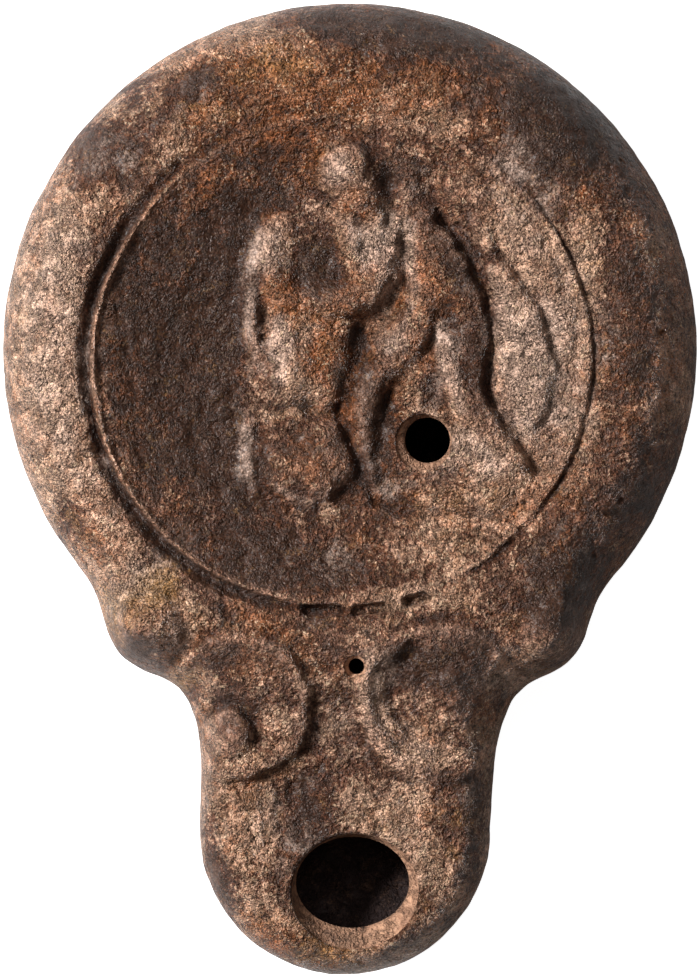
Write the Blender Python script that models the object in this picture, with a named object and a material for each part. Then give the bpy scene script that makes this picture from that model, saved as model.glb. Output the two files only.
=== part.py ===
"""Roman oil lamp of fired clay: a round body with a picture on its sunk disc, and a rounded nozzle between volutes.

The lamp is one piece. It was pressed in two half moulds, joined at the seam and fired, so it is one hollow solid
here too. Lengths are millimetres until the finished meshes are brought to metres. The flat base stands on Z = 0
with its middle at the origin, and the nozzle points along -Y.

Run with: blender --background --python part.py
"""

import math
from typing import NamedTuple

import bmesh
import bpy
import numpy as np

METRES = 0.001

# Driving sizes
BODY_RADIUS = 41.1
BASE_RADIUS = 21.6
BASE_STEP = 0.6
SEAM_HEIGHT = 15.5
SHOULDER_HEIGHT = 25.5
DISC_HEIGHT = 21.2
NOZZLE_HEIGHT = 22.5
NOZZLE_TIP_RISE = 9.2
BOWL_FULLNESS = 0.65

# Clay thickness
WALL = 3.2
ROOF = 2.8
FLOOR = 3.0

# The nozzle in plan: a straight bar with round ends, a little wider where it leaves the body
NOZZLE_ROOT = (0.0, -42.0)
NOZZLE_END = (-0.6, -56.8)
NOZZLE_ROOT_HALF_WIDTH = 17.4
NOZZLE_END_HALF_WIDTH = 17.2
NECK_HALF_LENGTH = 7.5
NECK_Y = -35.0
NECK_RADIUS = 10.9
OUTLINE_BLEND = 7.0

# The round lugs where the shoulder meets the nozzle, on the upper half only
LEFT_LUG = (-23.8, -32.9)
LEFT_LUG_RADIUS = 4.0
RIGHT_LUG = (23.1, -33.4)
RIGHT_LUG_RADIUS = 3.7
LUG_DEPTH = 4.0

# The moulding between shoulder and disc, measured from the disc's own middle
DISC_MIDDLE = (-0.6, -0.9)
DISC_EDGE = 28.6
RIDGE_RADIUS = 29.5
GROOVE_RADIUS = 31.1
SHOULDER_INNER = 33.6

# Holes
FILLING_RIM = (9.25, -10.7)
FILLING_THROAT = (9.5, -10.6)
FILLING_RIM_RADIUS = 3.3
FILLING_THROAT_RADIUS = 2.96
WICK_RIM = (0.4, -64.0)
WICK_THROAT = (0.3, -63.0)
WICK_RIM_RADII = (7.2, 6.8)
WICK_THROAT_RADII = (6.6, 5.4)
AIR_RIM = (0.65, -37.4)
AIR_RIM_RADIUS = 1.3
AIR_THROAT_RADIUS = 0.9

# Mesh density: how a sphere is divided before it is shaped, and how many triangles are kept of it
SEGMENTS = 400
RINGS = 200
OUTER_TRIANGLES = 7700
INNER_TRIANGLES = 1100
TOWARDS_NOZZLE = 0.4
OUTLINE_ONSET = 6

RELIEF_BLEND = 0.7
CLAY_COLOUR = (0.30, 0.145, 0.085, 1.0)
CLAY_ROUGHNESS = 0.62


class Ridge(NamedTuple):
    """A rounded raised form along a path, with its half width and height at each point."""

    path: tuple
    half_widths: tuple
    heights: tuple


class Mound(NamedTuple):
    """A rounded raised oval, turned by an angle in degrees."""

    middle: tuple
    radii: tuple
    height: float
    turn: float = 0.0


class Valley(NamedTuple):
    """A soft groove along a path."""

    path: tuple
    half_width: float
    depth: float


# The picture: two figures who embrace, seated on a rock, with drapery behind the right one
ROCK = Mound((12.5, -12.5), (10.0, 7.1), 1.15)
DRAPERY = Mound((20.6, -0.2), (3.9, 10.0), 1.3, 12)
MANTLE = Ridge(((13.3, 17.2), (23.8, 7.1), (26.0, -8.3)), (3.3, 3.3, 3.0), (0.5, 0.7, 0.4))

RIGHT_FIGURE = (
    Mound((6.2, 21.7), (3.9, 3.6), 1.1),
    Mound((6.8, 19.0), (1.8, 2.5), 1.7),
    Ridge(((9.0, 14.5), (9.3, 9.5), (7.8, 4.2)), (3.0, 3.2, 3.0), (1.6, 1.7, 1.8)),
    Ridge(((12.2, 13.0), (13.3, 7.1), (12.5, 2.4)), (2.1, 2.2, 2.4), (1.1, 1.3, 1.5)),
    Ridge(((7.4, 7.1), (3.2, -2.1), (2.2, -10.0), (3.5, -16.0)), (2.6, 2.1, 1.6, 1.3), (2.0, 1.7, 1.4, 0.9)),
    Ridge(((12.9, 2.6), (13.7, -3.0), (18.8, -12.8)), (3.1, 3.4, 2.8), (1.9, 2.0, 1.5)),
)
LEFT_FIGURE = (
    Mound((0.1, 20.4), (3.7, 4.5), 2.4, 18),
    Mound((2.0, 16.8), (1.9, 2.1), 1.9),
    Mound((-4.4, 10.4), (4.7, 5.3), 1.1),
    Mound((-9.7, 11.3), (3.1, 5.0), 1.9, -8),
    Ridge(((-6.3, 3.3), (-4.0, -5.0)), (5.9, 4.5), (1.9, 1.6)),
    Mound((-5.2, -13.3), (7.3, 5.6), 2.0, -18),
    Ridge(((-11.8, 8.3), (-12.2, 1.8), (-10.4, -4.2)), (1.1, 1.2, 1.1), (1.2, 1.3, 0.9)),
    Ridge(((-8.0, 6.4), (-1.7, 5.6), (2.9, 8.2), (5.3, 14.0)), (2.4, 2.2, 2.3, 1.7), (1.9, 2.1, 2.3, 2.1)),
    Ridge(((-0.2, 14.5), (1.5, 10.4)), (1.7, 1.8), (1.7, 1.9)),
    Ridge(((-12.5, -9.3), (-11.6, -16.8)), (1.2, 1.0), (1.3, 0.8)),
    Ridge(((-9.7, -15.7), (-3.5, -18.7)), (1.1, 1.0), (1.3, 0.9)),
)
PICTURE_VALLEYS = (
    Valley(((11.8, 14.9), (16.7, 3.1), (16.0, -4.4), (22.6, -14.5)), 1.0, 1.2),
    Valley(((17.8, 11.1), (24.3, -0.4), (24.1, -8.3)), 0.8, 0.6),
    Valley(((6.3, 10.4), (4.6, 3.3), (1.2, 2.1), (-1.6, -7.7), (2.9, -17.8)), 1.0, 1.0),
    Valley(((11.0, 3.3), (4.1, -5.9), (3.4, -11.9)), 0.8, 0.8),
    Valley(((-9.4, -6.9), (-1.7, -8.1)), 0.8, 0.5),
    Valley(((3.6, -17.8), (7.2, -19.5), (20.8, -20.2)), 0.7, 0.4),
)

# The shoulder volutes: a raised scroll on each side of the nozzle, each with an eye, and a lug's ball
LEFT_VOLUTE = (-13.0, -41.9)
LEFT_VOLUTE_RADIUS = 8.7
RIGHT_VOLUTE = (10.7, -41.5)
RIGHT_VOLUTE_RADIUS = 9.5
VOLUTE_RIM_HEIGHT = 1.1
VOLUTE_DISH = 0.6
NOZZLE_KNOBS = (
    Mound((-15.1, -44.7), (2.8, 2.6), 0.8),
    Mound((12.2, -46.3), (3.6, 3.1), 0.5),
    Mound((-24.3, -32.8), (4.5, 4.5), 1.9),
    Mound((24.0, -33.0), (4.3, 4.0), 1.2),
)


def clear_scene():
    for obj in list(bpy.data.objects):
        bpy.data.objects.remove(obj, do_unlink=True)


def soft_min(first, second, blend):
    """The smaller of two values, rounded off where they are closer than the blend."""
    share = np.clip(0.5 + 0.5 * (second - first) / blend, 0, 1)
    return second * (1 - share) + first * share - blend * share * (1 - share)


def soft_max(first, second, blend):
    return -soft_min(-first, -second, blend)


def ramp(start, end, value):
    """0 before start, 1 after end, and a smooth step between."""
    share = np.clip((value - start) / (end - start), 0, 1)
    return share * share * (3 - 2 * share)


def from_circle(x, y, middle, radius):
    return np.hypot(x - middle[0], y - middle[1]) - radius


def along_line(x, y, start, end):
    """For each point, its distance from a straight line and how far along the nearest spot is, from 0 to 1."""
    step_x, step_y = end[0] - start[0], end[1] - start[1]
    share = ((x - start[0]) * step_x + (y - start[1]) * step_y) / (step_x**2 + step_y**2)
    share = np.clip(share, 0, 1)
    distance = np.hypot(x - start[0] - share * step_x, y - start[1] - share * step_y)
    return distance, share


def from_bar(x, y, start, end, start_radius, end_radius):
    distance, share = along_line(x, y, start, end)
    return distance - start_radius - share * (end_radius - start_radius)


def outside_hull(x, y):
    """How far a point is outside the body and nozzle in plan, without the lugs: negative inside."""
    nozzle = from_bar(x, y, NOZZLE_ROOT, NOZZLE_END, NOZZLE_ROOT_HALF_WIDTH, NOZZLE_END_HALF_WIDTH)
    left, right = (-NECK_HALF_LENGTH, NECK_Y), (NECK_HALF_LENGTH, NECK_Y)
    neck = from_bar(x, y, left, right, NECK_RADIUS, NECK_RADIUS)
    outline = from_circle(x, y, (0, 0), BODY_RADIUS)
    return soft_min(outline, soft_min(nozzle, neck, OUTLINE_BLEND), OUTLINE_BLEND)


def outside(x, y):
    """How far a point is outside the lamp's whole outline in plan: negative inside."""
    outline = soft_min(outside_hull(x, y), from_circle(x, y, LEFT_LUG, LEFT_LUG_RADIUS), OUTLINE_BLEND)
    return soft_min(outline, from_circle(x, y, RIGHT_LUG, RIGHT_LUG_RADIUS), OUTLINE_BLEND)


def reach(angle, outline, inset):
    """The distance from the origin to an outline, moved in by the inset, in each direction."""
    near, far = np.full_like(angle, BASE_RADIUS), np.full_like(angle, 2 * BODY_RADIUS)
    for _ in range(40):
        middle = (near + far) / 2
        inside = outline(middle * np.cos(angle), middle * np.sin(angle)) < -inset
        near, far = np.where(inside, middle, near), np.where(inside, far, middle)
    return near


def quarter_round(share, fullness=0.5):
    """A rise from 0 at 0 to 1 at 1: a quarter circle, or a leaner curve where the fullness is larger."""
    return np.clip(1 - (1 - np.clip(share, 0, 1)) ** 2, 0, 1) ** fullness


def raised(x, y, form):
    """The height of one Mound or Ridge over its ground."""
    if isinstance(form, Mound):
        turn = math.radians(form.turn)
        from_x, from_y = x - form.middle[0], y - form.middle[1]
        across = (from_x * math.cos(turn) + from_y * math.sin(turn)) / form.radii[0]
        up = (from_y * math.cos(turn) - from_x * math.sin(turn)) / form.radii[1]
        return form.height * np.clip(1 - across**2 - up**2, 0, 1) ** 0.6
    height = np.zeros_like(x)
    for i in range(len(form.path) - 1):
        distance, share = along_line(x, y, form.path[i], form.path[i + 1])
        width = form.half_widths[i] + share * (form.half_widths[i + 1] - form.half_widths[i])
        top = form.heights[i] + share * (form.heights[i + 1] - form.heights[i])
        height = np.maximum(height, top * np.clip(1 - (distance / width) ** 2, 0, 1) ** 0.6)
    return height


def sunk(x, y, valley):
    """The depth of one Valley."""
    nearest = np.full_like(x, np.inf)
    for start, end in zip(valley.path[:-1], valley.path[1:]):
        nearest = np.minimum(nearest, along_line(x, y, start, end)[0])
    return valley.depth * np.exp(-((nearest / valley.half_width) ** 2))


def picture(x, y):
    """The relief on the disc."""
    height = raised(x, y, ROCK)
    for form in (DRAPERY, MANTLE, *RIGHT_FIGURE, *LEFT_FIGURE):
        height = soft_max(height, raised(x, y, form), RELIEF_BLEND)
    for valley in PICTURE_VALLEYS:
        height = height - sunk(x, y, valley)
    from_middle = from_circle(x, y, DISC_MIDDLE, 0)
    return height * (1 - ramp(DISC_EDGE - 2.5, DISC_EDGE, from_middle))


def volute(x, y, middle, radius):
    """A raised round scroll, dished towards its middle."""
    distance = from_circle(x, y, middle, 0)
    rim = VOLUTE_RIM_HEIGHT * (1 - ramp(radius - 1.2, radius + 0.5, distance))
    return rim - VOLUTE_DISH * (1 - ramp(0, radius - 0.8, distance))


def volutes(x, y):
    """The scrolls and knobs where nozzle and shoulder meet, clear of the disc."""
    height = soft_max(
        volute(x, y, LEFT_VOLUTE, LEFT_VOLUTE_RADIUS),
        volute(x, y, RIGHT_VOLUTE, RIGHT_VOLUTE_RADIUS),
        RELIEF_BLEND,
    )
    for knob in NOZZLE_KNOBS:
        height = height + raised(x, y, knob)
    return height * ramp(GROOVE_RADIUS - 0.6, SHOULDER_INNER - 0.6, from_circle(x, y, DISC_MIDDLE, 0))


def crown(x, y):
    """The top's height away from its rounded edge: sunk disc, ridge, groove, shoulder and nozzle."""
    distance = from_circle(x, y, DISC_MIDDLE, 0)
    radii = (0, 10, 20, 25, DISC_EDGE, RIDGE_RADIUS, GROOVE_RADIUS, SHOULDER_INNER, BODY_RADIUS)
    rises = (0, 0.2, 1.0, 1.8, 3.0, 3.7, 2.9, 4.1, SHOULDER_HEIGHT - DISC_HEIGHT)
    height = DISC_HEIGHT + np.interp(distance, radii, rises)
    on_nozzle = ramp(33, 45, -y) * ramp(GROOVE_RADIUS, GROOVE_RADIUS + 6, distance)
    return height + (NOZZLE_HEIGHT - height) * on_nozzle


def shoulder_width(x, y):
    """How wide the rounded edge of the top is: narrower along the nozzle and round the lugs."""
    lugs = soft_min(from_circle(x, y, LEFT_LUG, 0), from_circle(x, y, RIGHT_LUG, 0), OUTLINE_BLEND)
    return 8.2 - 3.4 * np.maximum(ramp(38, 50, -y), 1 - ramp(4, 12, lugs))


def carved_top(x, y):
    """The lamp's upper surface."""
    edge = quarter_round(-outside(x, y) / shoulder_width(x, y))
    return SEAM_HEIGHT + (crown(x, y) - SEAM_HEIGHT) * edge + picture(x, y) + volutes(x, y)


def cavity_roof(x, y):
    """The cavity's upper surface, a wall and a roof of clay inside the lamp's."""
    edge = quarter_round((-outside_hull(x, y) - WALL) / shoulder_width(x, y))
    return SEAM_HEIGHT + (crown(x, y) - ROOF - SEAM_HEIGHT) * edge


def bowl(x, y, wall, floor):
    """The bowl under the body and the keel under the nozzle, with a wall and a floor of clay left off."""
    on_nozzle = ramp(20, 66, -y)
    width = (BODY_RADIUS - BASE_RADIUS) - 6.5 * on_nozzle
    drop = SEAM_HEIGHT - floor - NOZZLE_TIP_RISE * on_nozzle
    return SEAM_HEIGHT - drop * quarter_round((-outside_hull(x, y) - wall) / width, BOWL_FULLNESS)


def underside(x, y):
    """The lamp's lower surface: the bowl, and a shallow round under each lug."""
    under_lugs = SEAM_HEIGHT - LUG_DEPTH * quarter_round(-outside(x, y) / LUG_DEPTH)
    return np.minimum(bowl(x, y, 0, BASE_STEP), under_lugs)


def cavity_floor(x, y):
    return bowl(x, y, WALL, FLOOR)


def shaped_sphere(name, outline, inset, upper, lower):
    """A sphere whose upper half becomes one surface and whose lower half becomes another.

    Its equator follows the outline, moved in by the inset. Its circles stay round over the disc and the base and
    take up the outline only near the edge, and its meridians crowd towards the nozzle.
    """
    mesh = bpy.data.meshes.new(name)
    ball = bmesh.new()
    bmesh.ops.create_uvsphere(ball, u_segments=SEGMENTS, v_segments=RINGS, radius=1)
    ball.to_mesh(mesh)
    ball.free()
    points = np.empty(len(mesh.vertices) * 3)
    mesh.vertices.foreach_get("co", points)
    points = points.reshape(-1, 3)
    turn = np.arctan2(points[:, 0], -points[:, 1]) / math.pi
    turn = (1 - TOWARDS_NOZZLE) * turn + TOWARDS_NOZZLE * turn**3
    angle = math.pi * turn - math.pi / 2
    share = np.hypot(points[:, 0], points[:, 1])
    round_reach = BODY_RADIUS - inset
    radius = share * round_reach + share**OUTLINE_ONSET * (reach(angle, outline, inset) - round_reach)
    x, y = radius * np.cos(angle), radius * np.sin(angle)
    z = np.where(points[:, 2] > 0, upper(x, y), lower(x, y))
    mesh.vertices.foreach_set("co", np.stack((x, y, z), axis=1).ravel() * METRES)
    mesh.update()
    return bpy.data.objects.new(name, mesh)


def thin_out(obj, triangles):
    """Keeps about this many triangles, most of them where the surface bends most."""
    modifier = obj.modifiers.new("Thin out", "DECIMATE")
    modifier.ratio = triangles / (2 * SEGMENTS * (RINGS - 1))


def base_disc():
    """The flat round base, which stands a step proud of the bowl."""
    mesh = bpy.data.meshes.new("base_disc")
    disc = bmesh.new()
    height = FLOOR / 2
    bmesh.ops.create_cone(
        disc,
        cap_ends=True,
        segments=72,
        radius1=BASE_RADIUS * METRES,
        radius2=BASE_RADIUS * METRES,
        depth=height * METRES,
    )
    bmesh.ops.translate(disc, verts=disc.verts, vec=(0, 0, height / 2 * METRES))
    disc.to_mesh(mesh)
    disc.free()
    return bpy.data.objects.new("base_disc", mesh)


def tapered_hole(name, upper, lower, sides=36):
    """A cutter that widens upwards. Each end is (middle, radii, height)."""
    mesh = bpy.data.meshes.new(name)
    cone = bmesh.new()
    bmesh.ops.create_cone(cone, cap_ends=True, segments=sides, radius1=1, radius2=1, depth=2)
    for vertex in cone.verts:
        middle, radii, height = upper if vertex.co.z > 0 else lower
        vertex.co.x = (middle[0] + radii[0] * vertex.co.x) * METRES
        vertex.co.y = (middle[1] + radii[1] * vertex.co.y) * METRES
        vertex.co.z = height * METRES
    cone.to_mesh(mesh)
    cone.free()
    return bpy.data.objects.new(name, mesh)


def stretched(upper, lower, above, below):
    """The same cone between two new heights."""
    ends = []
    for height in (above, below):
        share = (height - lower[2]) / (upper[2] - lower[2])
        middle = tuple(low + share * (high - low) for high, low in zip(upper[0], lower[0]))
        radii = tuple(low + share * (high - low) for high, low in zip(upper[1], lower[1]))
        ends.append((middle, radii, height))
    return ends


def filling_cutter():
    rim = (FILLING_RIM, (FILLING_RIM_RADIUS,) * 2, DISC_HEIGHT + 1.6)
    throat = (FILLING_THROAT, (FILLING_THROAT_RADIUS,) * 2, DISC_HEIGHT - ROOF)
    return tapered_hole("filling_hole_cutter", *stretched(rim, throat, DISC_HEIGHT + 5, throat[2] - 0.6))


def wick_cutter():
    rim = (WICK_RIM, WICK_RIM_RADII, NOZZLE_HEIGHT)
    throat = (WICK_THROAT, WICK_THROAT_RADII, NOZZLE_HEIGHT - ROOF)
    return tapered_hole("wick_hole_cutter", *stretched(rim, throat, NOZZLE_HEIGHT + 2, throat[2] - 2), 44)


def air_cutter():
    rim = (AIR_RIM, (AIR_RIM_RADIUS,) * 2, SHOULDER_HEIGHT - 1)
    throat = (AIR_RIM, (AIR_THROAT_RADIUS,) * 2, SHOULDER_HEIGHT - 1 - ROOF)
    return tapered_hole("air_hole_cutter", *stretched(rim, throat, SHOULDER_HEIGHT + 2, throat[2] - 2), 16)


def clay():
    material = bpy.data.materials.new("fired_clay")
    material.use_nodes = True
    shader = material.node_tree.nodes["Principled BSDF"]
    shader.inputs["Base Color"].default_value = CLAY_COLOUR
    shader.inputs["Roughness"].default_value = CLAY_ROUGHNESS
    shader.inputs["Metallic"].default_value = 0.0
    material.diffuse_color = CLAY_COLOUR
    return material


def new_collection(name):
    collection = bpy.data.collections.new(name)
    bpy.context.scene.collection.children.link(collection)
    return collection


def combine(lamp, helper, operation, helpers):
    """Joins a helper to the lamp or cuts it away, and keeps the helper itself out of the render."""
    helpers.objects.link(helper)
    helper.hide_render = True
    helper.display_type = "WIRE"
    modifier = lamp.modifiers.new(f"{operation.title()} {helper.name}", "BOOLEAN")
    modifier.operation = operation
    modifier.solver = "EXACT"
    modifier.object = helper


def main():
    clear_scene()
    lamp_parts = new_collection("roman_oil_lamp")
    helpers = new_collection("helpers")

    lamp = shaped_sphere("lamp_body", outside, 0, carved_top, underside)
    thin_out(lamp, OUTER_TRIANGLES)
    lamp_parts.objects.link(lamp)
    lamp.data.materials.append(clay())
    combine(lamp, base_disc(), "UNION", helpers)

    cavity = shaped_sphere("oil_cavity_cutter", outside_hull, WALL, cavity_roof, cavity_floor)
    thin_out(cavity, INNER_TRIANGLES)
    for cutter in (cavity, filling_cutter(), wick_cutter(), air_cutter()):
        combine(lamp, cutter, "DIFFERENCE", helpers)


if __name__ == "__main__":
    main()
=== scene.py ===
"""The looks of a Roman oil lamp: mould-made clay under a worn dark slip, with an embracing pair on its disc.

Lengths in the classes are millimetres in the frame of the solids: the origin in the middle of the flat base,
the nozzle along -Y and Z up. Meshes leave their class in metres.
"""

import copy
import logging
import math
from dataclasses import dataclass, field
from enum import Enum
from typing import Callable, NamedTuple, Sequence

import bpy
import numpy as np
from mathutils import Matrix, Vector
from mathutils.geometry import delaunay_2d_cdt


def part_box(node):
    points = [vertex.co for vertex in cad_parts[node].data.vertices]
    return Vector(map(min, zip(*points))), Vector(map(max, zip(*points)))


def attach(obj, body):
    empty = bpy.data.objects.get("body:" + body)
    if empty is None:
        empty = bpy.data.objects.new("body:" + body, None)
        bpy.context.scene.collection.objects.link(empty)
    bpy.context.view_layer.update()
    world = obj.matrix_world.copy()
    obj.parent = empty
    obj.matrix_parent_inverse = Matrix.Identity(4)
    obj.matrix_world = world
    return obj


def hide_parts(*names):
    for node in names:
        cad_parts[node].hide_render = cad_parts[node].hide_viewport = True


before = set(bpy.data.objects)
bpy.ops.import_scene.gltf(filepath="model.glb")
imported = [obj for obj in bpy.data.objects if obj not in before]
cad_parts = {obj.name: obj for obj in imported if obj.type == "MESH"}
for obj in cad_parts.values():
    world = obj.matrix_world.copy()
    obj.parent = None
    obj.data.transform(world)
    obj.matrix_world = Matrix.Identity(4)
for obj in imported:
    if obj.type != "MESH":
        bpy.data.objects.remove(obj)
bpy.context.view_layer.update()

METRES = 0.001
LOG = logging.getLogger("roman_oil_lamp")

Array = np.ndarray
Place = tuple[float, float]
Places = tuple[Array, Array]
Colour = tuple[float, ...]
PlanFunction = Callable[[Array, Array], Array]
ORIGIN = (0.0, 0.0)


class Clay(Enum):
    """The two surfaces of the lamp, in the order of their material slots."""

    SLIPPED = 0
    BARE = 1


# ---- shaping functions


def soft_min(first: Array, second: Array, blend: float) -> Array:
    """Takes the smaller of two values and rounds off the place where they meet.

    Args:
        first: One value at each point.
        second: The other value at each point.
        blend: How close the two are where the rounding begins.

    Returns:
        The blended smaller value.
    """
    share = np.clip(0.5 + 0.5 * (second - first) / blend, 0, 1)
    return second * (1 - share) + first * share - blend * share * (1 - share)


def soft_max(first: Array, second: Array, blend: float) -> Array:
    """The larger of two values, rounded off as soft_min does it."""
    return -soft_min(-first, -second, blend)


def ramp(start: float, end: float, value: Array) -> Array:
    """A smooth step from 0 at start to 1 at end."""
    share = np.clip((value - start) / (end - start), 0, 1)
    return share * share * (3 - 2 * share)


def bell(distance: Array, half_width: float) -> Array:
    """1 on a line and falling smoothly to nothing over about twice the half width."""
    return np.exp(-((distance / half_width) ** 2))


def quarter_round(share: Array, fullness: float = 0.5) -> Array:
    """Rises from 0 at 0 to 1 at 1: a quarter circle, or leaner where the fullness is larger."""
    return np.clip(1 - (1 - np.clip(share, 0, 1)) ** 2, 0, 1) ** fullness


def from_circle(x: Array, y: Array, middle: Place, radius: float) -> Array:
    """Signed distance from a circle in plan, negative inside it."""
    return np.hypot(x - middle[0], y - middle[1]) - radius


def polar(middle: Place, radius: Array, angle: Array) -> Places:
    """Places at a distance and a direction from a middle, as X and Y."""
    return middle[0] + radius * np.cos(angle), middle[1] + radius * np.sin(angle)


def full_turn(count: int) -> Array:
    """Evenly spaced directions round a full turn, in radians."""
    return np.arange(count) / count * 2 * math.pi


def along_line(x: Array, y: Array, start: Sequence[float], end: Sequence[float]) -> tuple[Array, Array]:
    """Measures points against a straight line in plan.

    Args:
        x: The points' X.
        y: The points' Y.
        start: Where the line starts.
        end: Where it ends.

    Returns:
        Each point's distance from the line, and how far along the nearest spot is, from 0 to 1.
    """
    step_x, step_y = end[0] - start[0], end[1] - start[1]
    share = np.clip(((x - start[0]) * step_x + (y - start[1]) * step_y) / (step_x**2 + step_y**2), 0, 1)
    return np.hypot(x - start[0] - share * step_x, y - start[1] - share * step_y), share


def from_bar(x: Array, y: Array, start: Place, end: Place, start_radius: float, end_radius: float) -> Array:
    """Signed distance from a bar with round ends, negative inside it."""
    distance, share = along_line(x, y, start, end)
    return distance - start_radius - share * (end_radius - start_radius)


def flowing(points: Sequence[Sequence[float]], steps: int = 6) -> Array:
    """Samples a smooth curve that runs through a few points.

    Args:
        points: The points. Any numbers after X and Y, such as a width, flow along with them.
        steps: Samples between one point and the next.

    Returns:
        One row for each sample.
    """
    knots = np.asarray(points, float)
    if len(knots) < 2:
        return knots
    knots = np.vstack((2 * knots[0] - knots[1], knots, 2 * knots[-1] - knots[-2]))
    rows = [knots[1]]
    for before, start, end, after in zip(knots[:-3], knots[1:-2], knots[2:-1], knots[3:]):
        for step in range(1, steps + 1):
            t = step / steps
            pull = (end - before) * t + (2 * before - 5 * start + 4 * end - after) * t**2
            rows.append(start + 0.5 * (pull + (3 * start - before - 3 * end + after) * t**3))
    return np.array(rows)


def ripple(x: Array, y: Array, size: float, seed: int) -> Array:
    """A smooth field without a pattern, about 1 at its highest, as hand-worked clay wavers.

    Args:
        x: The points' X.
        y: Their Y.
        size: The length of its waves.
        seed: Which field.

    Returns:
        The field at each point.
    """
    waves, total = 9, 0
    chance = np.random.default_rng(seed)
    for turn, phase, stretch in chance.uniform((0, 0, 0.6), (math.pi, 2 * math.pi, 1.6), (waves, 3)):
        along = x * math.cos(turn) + y * math.sin(turn)
        total = total + np.sin(along * 2 * math.pi * stretch / size + phase)
    return total / math.sqrt(waves * 2)


class Stray(NamedTuple):
    """Smooth waves that move a line a little off its place, as a hand does."""

    distance: float
    size: float
    seeds: tuple[int, int]

    def move(self, x: Array, y: Array) -> Places:
        """The moved points."""
        off_x, off_y = (self.distance * ripple(x, y, self.size, seed) for seed in self.seeds)
        return x + off_x, y + off_y


# ---- the lamp's form


@dataclass(frozen=True)
class Outline:
    """The lamp's outline in plan: round body, straight nozzle with a round end, and two lugs."""

    body_radius: float
    tip: float
    nozzle_half_width: float = 17.2
    root_half_width: float = 17.4
    root_y: float = -42.0
    tip_x: float = -0.6
    neck_half_length: float = 7.5
    neck_y: float = -35.0
    neck_radius: float = 10.9
    lugs: tuple[tuple[Place, float], ...] = (((-23.8, -32.9), 4.0), ((23.1, -33.4), 3.7))
    blend: float = 7.0
    lug_zone: Place = (4, 12)
    halvings: int = 36
    fine_steps: int = 8001

    def hull(self, x: Array, y: Array) -> Array:
        """Measures points against the outline of body and nozzle, without the lugs.

        Args:
            x: The points' X.
            y: Their Y.

        Returns:
            Their signed distance, negative inside.
        """
        end = (self.tip_x, self.tip + self.nozzle_half_width)
        nozzle = from_bar(x, y, (0, self.root_y), end, self.root_half_width, self.nozzle_half_width)
        left, right = (-self.neck_half_length, self.neck_y), (self.neck_half_length, self.neck_y)
        neck = from_bar(x, y, left, right, self.neck_radius, self.neck_radius)
        body = from_circle(x, y, ORIGIN, self.body_radius)
        return soft_min(body, soft_min(nozzle, neck, self.blend), self.blend)

    def whole(self, x: Array, y: Array) -> Array:
        """Signed distance from the whole outline."""
        left, right = (from_circle(x, y, *lug) for lug in self.lugs)
        return soft_min(soft_min(self.hull(x, y), left, self.blend), right, self.blend)

    def near_lugs(self, x: Array, y: Array) -> Array:
        """1 on the lugs and 0 away from them."""
        left, right = (from_circle(x, y, middle, 0) for middle, _ in self.lugs)
        return 1 - ramp(*self.lug_zone, soft_min(left, right, self.blend))

    def reach(self, angle: Array, inset: Array, outline: PlanFunction) -> Array:
        """Finds how far an outline lies from the origin in each direction.

        Args:
            angle: The directions, in radians.
            inset: How far inside the outline to stay, one value for each direction.
            outline: The signed distance to follow.

        Returns:
            The distances.
        """
        near = np.full_like(angle, self.body_radius / 2)
        far = np.full_like(angle, 2 * self.body_radius)
        for _ in range(self.halvings):
            middle = (near + far) / 2
            inside = outline(*polar(ORIGIN, middle, angle)) < -inset
            near, far = np.where(inside, middle, near), np.where(inside, far, middle)
        return near

    def even_directions(self, count: int) -> Array:
        """Finds directions whose points on the outline are evenly spaced along it.

        Args:
            count: How many.

        Returns:
            The directions, in radians.
        """
        fine = np.linspace(-math.pi, math.pi, self.fine_steps)
        radius = self.reach(fine, np.zeros_like(fine), self.whole)
        steps = np.hypot(*np.diff(polar(ORIGIN, radius, fine)))
        travelled = np.concatenate(([0], np.cumsum(steps)))
        return np.interp(np.arange(count) / count * travelled[-1], travelled, fine)


class Ridge(NamedTuple):
    """A rounded form that flows through points of X, Y, half width and height. One point makes a mound."""

    points: tuple[tuple[float, float, float, float], ...]
    fullness: float = 0.65


class Valley(NamedTuple):
    """A soft groove that flows through (x, y) points."""

    points: tuple[Place, ...]
    half_width: float
    depth: float


FAR_BELOW = -9.0
SIDE_FALL = 0.6


def near_rows(x: Array, y: Array, rows: Array, margin: float) -> Array:
    """Which points lie near a line: within a margin of the box round its rows."""
    low, high = rows[:, :2].min(axis=0) - margin, rows[:, :2].max(axis=0) + margin
    return (x > low[0]) & (x < high[0]) & (y > low[1]) & (y < high[1])


def ridge_height(x: Array, y: Array, ridge: Ridge) -> Array:
    """Finds the height of one ridge, which falls away to nothing and then below it, so that ridges blend.

    Args:
        x: The points' X.
        y: Their Y.
        ridge: The ridge.

    Returns:
        The heights. Far from the ridge they are deep below the ground.
    """
    rows = flowing(ridge.points)
    near = near_rows(x, y, rows, rows[:, 2].max() + 3)
    near_x, near_y = x[near], y[near]
    best = np.full_like(near_x, FAR_BELOW)
    if len(rows) == 1:
        rows = np.vstack((rows, rows + (1e-6, 0, 0, 0)))
    for start, end in zip(rows[:-1], rows[1:]):
        distance, share = along_line(near_x, near_y, start, end)
        width = start[2] + share * (end[2] - start[2])
        top = start[3] + share * (end[3] - start[3])
        inside = top * np.clip(1 - (distance / width) ** 2, 0, 1) ** ridge.fullness
        best = np.maximum(best, np.where(distance < width, inside, SIDE_FALL * (width - distance)))
    height = np.full_like(x, FAR_BELOW)
    height[near] = best
    return height


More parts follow.
